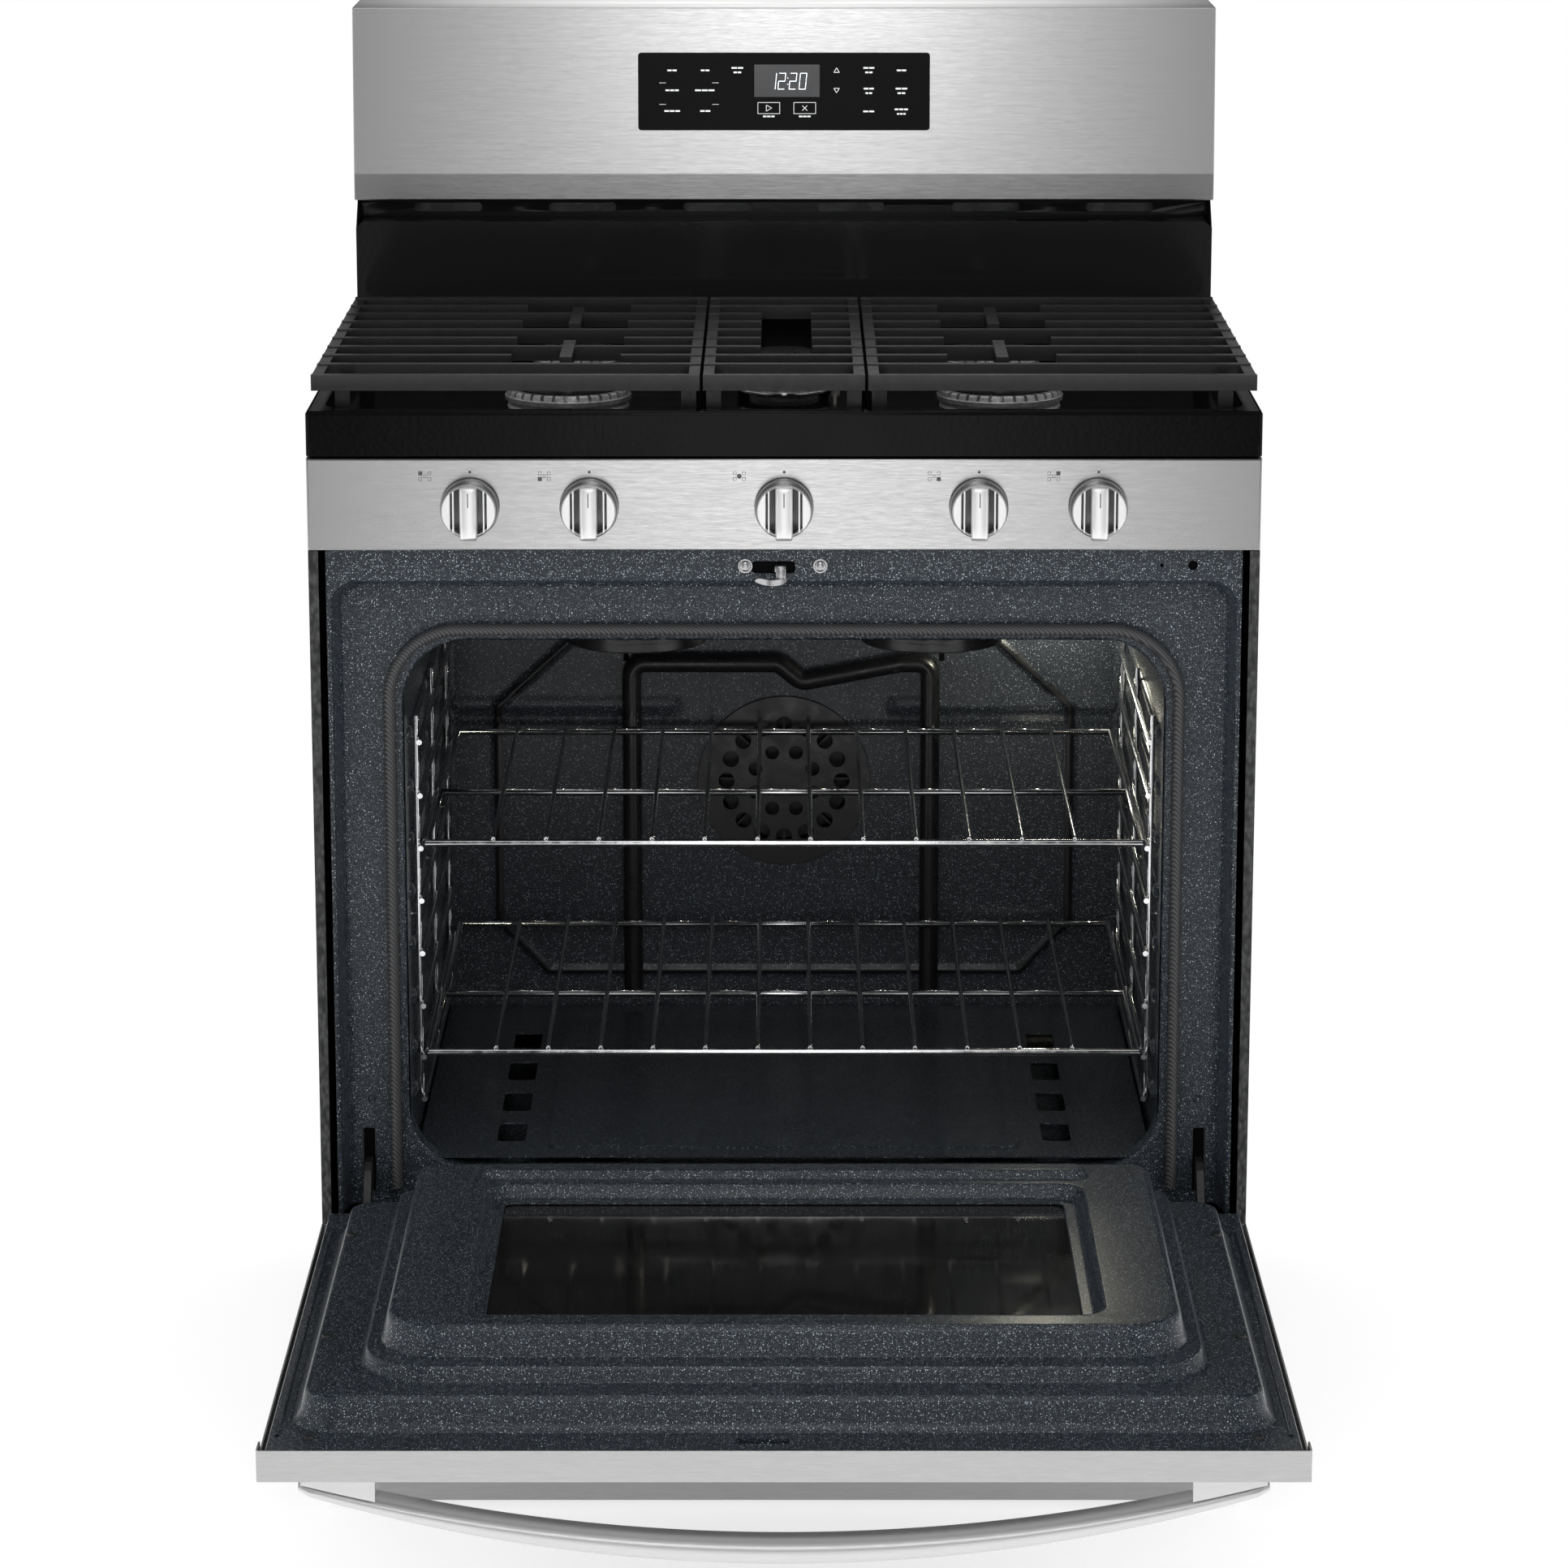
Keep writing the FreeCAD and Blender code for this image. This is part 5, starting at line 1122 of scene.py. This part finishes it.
# the clock: a slightly paler window and seven-segment digits
K = Build()
x0, z1 = px(931, 79)
x1, z0 = px(1010, 118)
quad(K, x0, x1, z0, z1, 0.06)
K.make("display_window", "black_window", "chassis", slot="black_glass")
K = Build()
SEG = {"1": "bc", "2": "abged", "0": "abcdef"}


def digit(x, z, w, h, ch):
    t = 0.62
    lean = 0.10
    g = 0.22
    seg = {"a": (g, w - g, h - t, h), "g": (g, w - g, h / 2 - t / 2, h / 2 + t / 2), "d": (g, w - g, 0, t),
           "f": (0, t, h / 2 + g, h - g), "b": (w - t, w, h / 2 + g, h - g), "e": (0, t, g, h / 2 - g), "c": (w - t, w, g, h / 2 - g)}
    for c in SEG[ch]:
        a0, a1, b0, b1 = seg[c]
        tri(K, [(x + a0 + lean * b0, z + b0), (x + a1 + lean * b0, z + b0), (x + a1 + lean * b1, z + b1), (x + a0 + lean * b1, z + b1)], 0.2)


xd, zd = px(951, 109)
_, zt = px(951, 89)
hd = zt - zd
for ch, u in (("1", 948.0), ("2", 959.0), ("2", 972.5), ("0", 984.5)):
    xx, _ = px(u, 109)
    digit(xx, zd, 6.2, hd, ch)
xc, _ = px(971.0, 109)
for f in (0.28, 0.66):
    tri(K, [(xc, zd + hd * f), (xc + 0.7, zd + hd * f), (xc + 0.75, zd + hd * f + 0.9), (xc + 0.05, zd + hd * f + 0.9)], 0.2)
K.make("clock_digits", "digit_glow", "chassis", slot="black_glass")

# ------------------------------------------------------------------ handle: one bowed bar with softly rounded section
hl, hh2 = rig.box("handle_bar")
hb = Build()
zlo, zhi = hl.z * 1000.0, hh2.z * 1000.0
half, tip, mid, th0, th1 = 353.0, 203.0, 148.0, 11.0, 20.0
N = 84
loops = []


def bow(x, edge, middle):
    r = ((edge - middle) ** 2 + half ** 2) / (2 * (edge - middle))
    return middle + r - math.sqrt(r * r - x * x)


for i in range(N + 1):
    x = -half + 2 * half * i / N
    zu, zo = bow(x, tip, mid), bow(x, tip + th0, mid + th1)
    e = (half - abs(x)) / 8.0
    k = math.sqrt(max(0.0, 1 - (1 - min(1.0, e)) ** 2)) if e < 1 else 1.0
    k = max(k, 0.35)
    hy, hz = 15.0 * (0.6 + 0.4 * k), (zo - zu) / 2 * (0.5 + 0.5 * k)
    loop = []
    for j in range(32):
        t = 2 * math.pi * j / 32
        c, s_ = math.cos(t), math.sin(t)
        yy = hy * math.copysign(abs(c) ** 0.74, c)
        zz = hz * math.copysign(abs(s_) ** 0.86, s_)
        loop.append(P(x, -505.0 + yy, (zu + zo) / 2 + zz))
    loops.append(loop)
hb.loft(loops, True, (True, True))
hb.make("handle_bow", "handle_steel", "oven_door", slot="handle_steel", replaces=("handle_bar",), sharp=50)

# ------------------------------------------------------------------ burners
TR = 894.0
heads = [(-177.5, 162, 52, 44), (177.5, 162, 52, 44), (-177.5, 356, 38, 32), (177.5, 356, 42, 35)]
H, Q, S2 = Build(), Build(), Build()
for x, y, hr, cr in heads:
    H.lathe("Z", (x, y, TR), [(-24, 26), (0.0, 27), (0.2, hr - 2.0), (2.4, hr - 2.6), (4.6, hr - 6), (5.6, hr - 2), (6.2, hr - 0.4), (9.6, hr), (10.2, hr - 0.6), (10.4, hr - 3), (10.4, hr - 14)], 72)
    n = 32 if hr > 45 else 26
    for k in range(n):
        t0 = 2 * math.pi * (k + 0.14) / n
        t1 = 2 * math.pi * (k + 0.86) / n
        ring = []
        for (r_, z_) in ((hr - 9.0, 10.2), (hr - 0.9, 10.2), (hr - 1.5, 13.6), (hr - 3.0, 14.8), (hr - 9.0, 14.8)):
            ring.append((r_, z_))
        la = [P(x + r_ * math.cos(t0), y + r_ * math.sin(t0), TR + z_) for r_, z_ in ring]
        lb = [P(x + r_ * math.cos(t1), y + r_ * math.sin(t1), TR + z_) for r_, z_ in ring]
        H.loft([la, lb], True, (True, True))
    H.lathe("Z", (x, y, TR), [(9.0, hr - 9.5), (14.6, hr - 9.5), (14.6, cr - 8)], 48)
    Q.lathe("Z", (x, y, TR), [(15.1, cr - 4), (15.1, cr - 0.8), (15.8, cr), (17.6, cr), (19.2, cr - 1.2), (20.2, cr - 3.4), (20.7, cr - 8), (21.0, cr - 18), (21.0, 0.6)], 72)


def stadium(hw, y0, y1, z, n=14):
    pts = []
    for i in range(n + 1):
        t = math.pi + math.pi * i / n
        pts.append(P(hw * math.cos(t), y0 + hw * math.sin(t), z))
    for i in range(n + 1):
        t = math.pi * i / n
        pts.append(P(hw * math.cos(t), y1 + hw * math.sin(t), z))
    return pts


H.loft([stadium(28, 205, 325, TR), stadium(29, 205, 325, TR + 3.0), stadium(32, 205, 325, TR + 5.2), stadium(36, 205, 325, TR + 6.2), stadium(37, 205, 325, TR + 8.4),
        stadium(36.6, 205, 325, TR + 13.4), stadium(35.4, 205, 325, TR + 14.7), stadium(24, 205, 325, TR + 14.9)], True)
Q.loft([stadium(26, 205, 325, TR + 15.1), stadium(29.4, 205, 325, TR + 15.2), stadium(30, 205, 325, TR + 16.2), stadium(29.8, 205, 325, TR + 18.6), stadium(28.4, 205, 325, TR + 20.2),
        stadium(25.5, 205, 325, TR + 20.9), stadium(20, 205, 325, TR + 21.0)], True, (False, True))
H.make("burner_rings", "burner_metal", "chassis", slot="burner_metal", replaces=("burner_heads",), sharp=30)
Q.make("burner_lids", "cap_enamel", "chassis", slot="cap_enamel", replaces=("burner_caps",), sharp=40)

# bright trim ring round the centre burner
K = Build()
K.loft([stadium(37.2, 205, 325, TR + 6.0), stadium(38.4, 205, 325, TR + 6.4), stadium(38.8, 205, 325, TR + 7.6), stadium(38.4, 205, 325, TR + 8.8), stadium(37.2, 205, 325, TR + 9.2)], True)
K.make("centre_burner_trim", "polished", "chassis", slot="chrome_wire")

# ------------------------------------------------------------------ rack wire ends: bright ball tips on the front rail
for rack, z in (("upper_rack", 545.5), ("lower_rack", 367.0)):
    K = Build()
    for k in range(12):
        x = (k - 5.5) * 43.45
        K.lathe("Z", (x, 70.0, z + 2.4), [(-0.2, 1.6), (0.9, 2.3), (1.9, 2.45), (2.9, 2.1), (3.7, 1.2), (4.0, 0.3)], 14)
    K.make(rack + "_wire_tips", "chrome_wire", rack, slot="chrome_wire")

# ------------------------------------------------------------------ fasteners on the back sheet
K = Build()
rlo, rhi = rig.box("rear_panel")
yb = (rhi.y - FP) * 1000.0
for x in (-360, -180, 0, 180, 360):
    for z in (72, 860):
        K.lathe("Y", (x, yb, z), [(-0.4, 5.0), (0.0, 5.0), (0.2, 4.8), (0.3, 4.2), (0.3, 2.2), (0.1, 1.6), (0.1, 0.2)], 20)
for x in (-360, 360):
    for z in (270, 470, 670):
        K.lathe("Y", (x, yb, z), [(-0.4, 5.0), (0.0, 5.0), (0.2, 4.8), (0.3, 4.2), (0.3, 2.2), (0.1, 1.6), (0.1, 0.2)], 20)
K.make("rear_screws", "galvanised", "chassis", slot="galvanised")

# ------------------------------------------------------------------ rolled rims under the two broil burner dishes
K = Build()
for s in (-1, 1):
    K.lathe("Z", (s * 124, 214, 686), [(1.2, 53.0), (0.3, 54.5), (0.0, 56.5), (0.4, 58.6), (1.6, 59.7), (8.2, 59.9)], 64)
weighted(K.make("broil_dish_rims", "cap_enamel", "chassis", slot="cap_enamel", sharp=50))

# ------------------------------------------------------------------ stage and light
fl = Build()
fl.add([(2.6 * math.cos(2 * math.pi * i / 96), 0.3 + 2.6 * math.sin(2 * math.pi * i / 96), 0) for i in range(96)], [tuple(range(96))])
me = bpy.data.meshes.new("studio_floor")
me.from_pydata([tuple(v) for v in fl.v], [], fl.f)
floor = bpy.data.objects.new("studio_floor", me)
bpy.context.scene.collection.objects.link(floor)
floor.location.z = CAD_BOX[0][2] - 0.0005
m = Mat("studio_floor_paint").set(Roughness=0.75, Emission_Strength=0.60)
m.color(m.ramp(m.noise(2.0, 2.0), [(0.3, (0.93, 0.93, 0.93)), (0.7, (0.95, 0.95, 0.95))]))
m.b.inputs["Emission Color"].default_value = (1, 1, 1, 1)
me.materials.append(m.m)
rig.stage(floor)

world = bpy.data.worlds.new("studio")
bpy.context.scene.world = world
world.use_nodes = True
wt = world.node_tree
wt.nodes.clear()
wo = wt.nodes.new("ShaderNodeOutputWorld")
wc = wt.nodes.new("ShaderNodeTexCoord")
ws = wt.nodes.new("ShaderNodeSeparateXYZ")
wt.links.new(wc.outputs["Generated"], ws.inputs[0])


def wrange(sock, a, b, c, d, kind="LINEAR"):
    r = wt.nodes.new("ShaderNodeMapRange")
    r.interpolation_type = kind
    for i, v in zip((1, 2, 3, 4), (a, b, c, d)):
        r.inputs[i].default_value = v
    wt.links.new(sock, r.inputs[0])
    return r.outputs[0]


def wmath(op, a, b=None):
    r = wt.nodes.new("ShaderNodeMath")
    r.operation = op
    for i, v in enumerate((a, b)):
        if v is None:
            continue
        if isinstance(v, (int, float)):
            r.inputs[i].default_value = v
        else:
            wt.links.new(v, r.inputs[i])
    return r.outputs[0]


# brightness by height: bright low and level, softer overhead
wr = wt.nodes.new("ShaderNodeValToRGB")
wt.links.new(wrange(ws.outputs["Z"], -1.0, 1.0, 0.0, 1.0), wr.inputs[0])
el = wr.color_ramp.elements
for _ in range(4):
    el.new(0.5)
for e, (p, c) in zip(el, ((0.0, 0.30), (0.36, 0.85), (0.44, 1.0), (0.52, 0.62), (0.62, 0.34), (1.0, 0.55))):
    e.position = p
    e.color = (c, c, c, 1)
# a tall soft strip straight in front, darker to both sides
across = wmath("ABSOLUTE", ws.outputs["X"])
side = wmath("ADD", wrange(across, 0.0, 0.108, 3.35, 0.03, "SMOOTHSTEP"), wrange(across, 0.34, 0.62, 0.0, 1.15, "SMOOTHSTEP"))
genv = wmath("MULTIPLY", wr.outputs[0], side)
wl = wt.nodes.new("ShaderNodeLightPath")
wb1 = wt.nodes.new("ShaderNodeBackground")      # what glossy surfaces see: a dark studio with a bright ceiling
wb2 = wt.nodes.new("ShaderNodeBackground")      # soft fill
wb3 = wt.nodes.new("ShaderNodeBackground")      # plain white behind the object
wb1.inputs[0].default_value = (1, 1, 1, 1)
wt.links.new(genv, wb1.inputs[1])
wb2.inputs[0].default_value = (1, 1, 1, 1)
wt.links.new(wmath("MULTIPLY", wrange(ws.outputs["Y"], -1.0, 1.0, 1.95, 0.30), wrange(ws.outputs["Z"], 0.0, 1.0, 1.0, 0.22)), wb2.inputs[1])
wb3.inputs[0].default_value = (1, 1, 1, 1)
wb3.inputs[1].default_value = 1.0
m1 = wt.nodes.new("ShaderNodeMixShader")
m2 = wt.nodes.new("ShaderNodeMixShader")
wt.links.new(wl.outputs["Is Glossy Ray"], m1.inputs[0])
wt.links.new(wb2.outputs[0], m1.inputs[1])
wt.links.new(wb1.outputs[0], m1.inputs[2])
wt.links.new(wl.outputs["Is Camera Ray"], m2.inputs[0])
wt.links.new(m1.outputs[0], m2.inputs[1])
wt.links.new(wb3.outputs[0], m2.inputs[2])
wt.links.new(m2.outputs[0], wo.inputs[0])


def area(name, loc, target, size, power, size_y=None, color=(1, 1, 1)):
    l = bpy.data.lights.new(name, "AREA")
    l.energy = power
    l.color = color
    l.size = size
    if size_y:
        l.shape = "RECTANGLE"
        l.size_y = size_y
    o = bpy.data.objects.new(name, l)
    bpy.context.scene.collection.objects.link(o)
    o.location = loc
    d = Vector(target) - Vector(loc)
    o.rotation_euler = d.to_track_quat("-Z", "Y").to_euler()
    return o


area("key_top", (0.0, -1.2, 3.2), (0, 0, 0.6), 2.6, 6.5, 1.6)
area("key_centre", (0.02, FP - 2.7, 2.1), (0.0, FP, 0.85), 0.5, 7, 1.3)
area("key_left", (-2.6, -2.4, 2.0), (0, 0, 0.6), 1.4, 2.5, 2.0)
lamp = bpy.data.lights.new("oven_lamp_glow", "POINT")
lamp.energy = 0.8
lamp.color = (1.0, 0.96, 0.78)
lamp.shadow_soft_size = 0.018
lamp_ob = bpy.data.objects.new("oven_lamp_glow", lamp)
bpy.context.scene.collection.objects.link(lamp_ob)
lamp_ob.location = P(238, 452, 676)
area("key_right", (2.6, -2.4, 2.0), (0, 0, 0.6), 1.4, 2.5, 2.0)

NEW_BOX = [list(v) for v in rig.bounds()]
try:
    with open("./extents.json", "w") as f:
        json.dump({"cad": [[float(c) for c in v] for v in CAD_BOX], "visual": [[float(c) for c in v] for v in NEW_BOX]}, f)
except OSError:
    pass
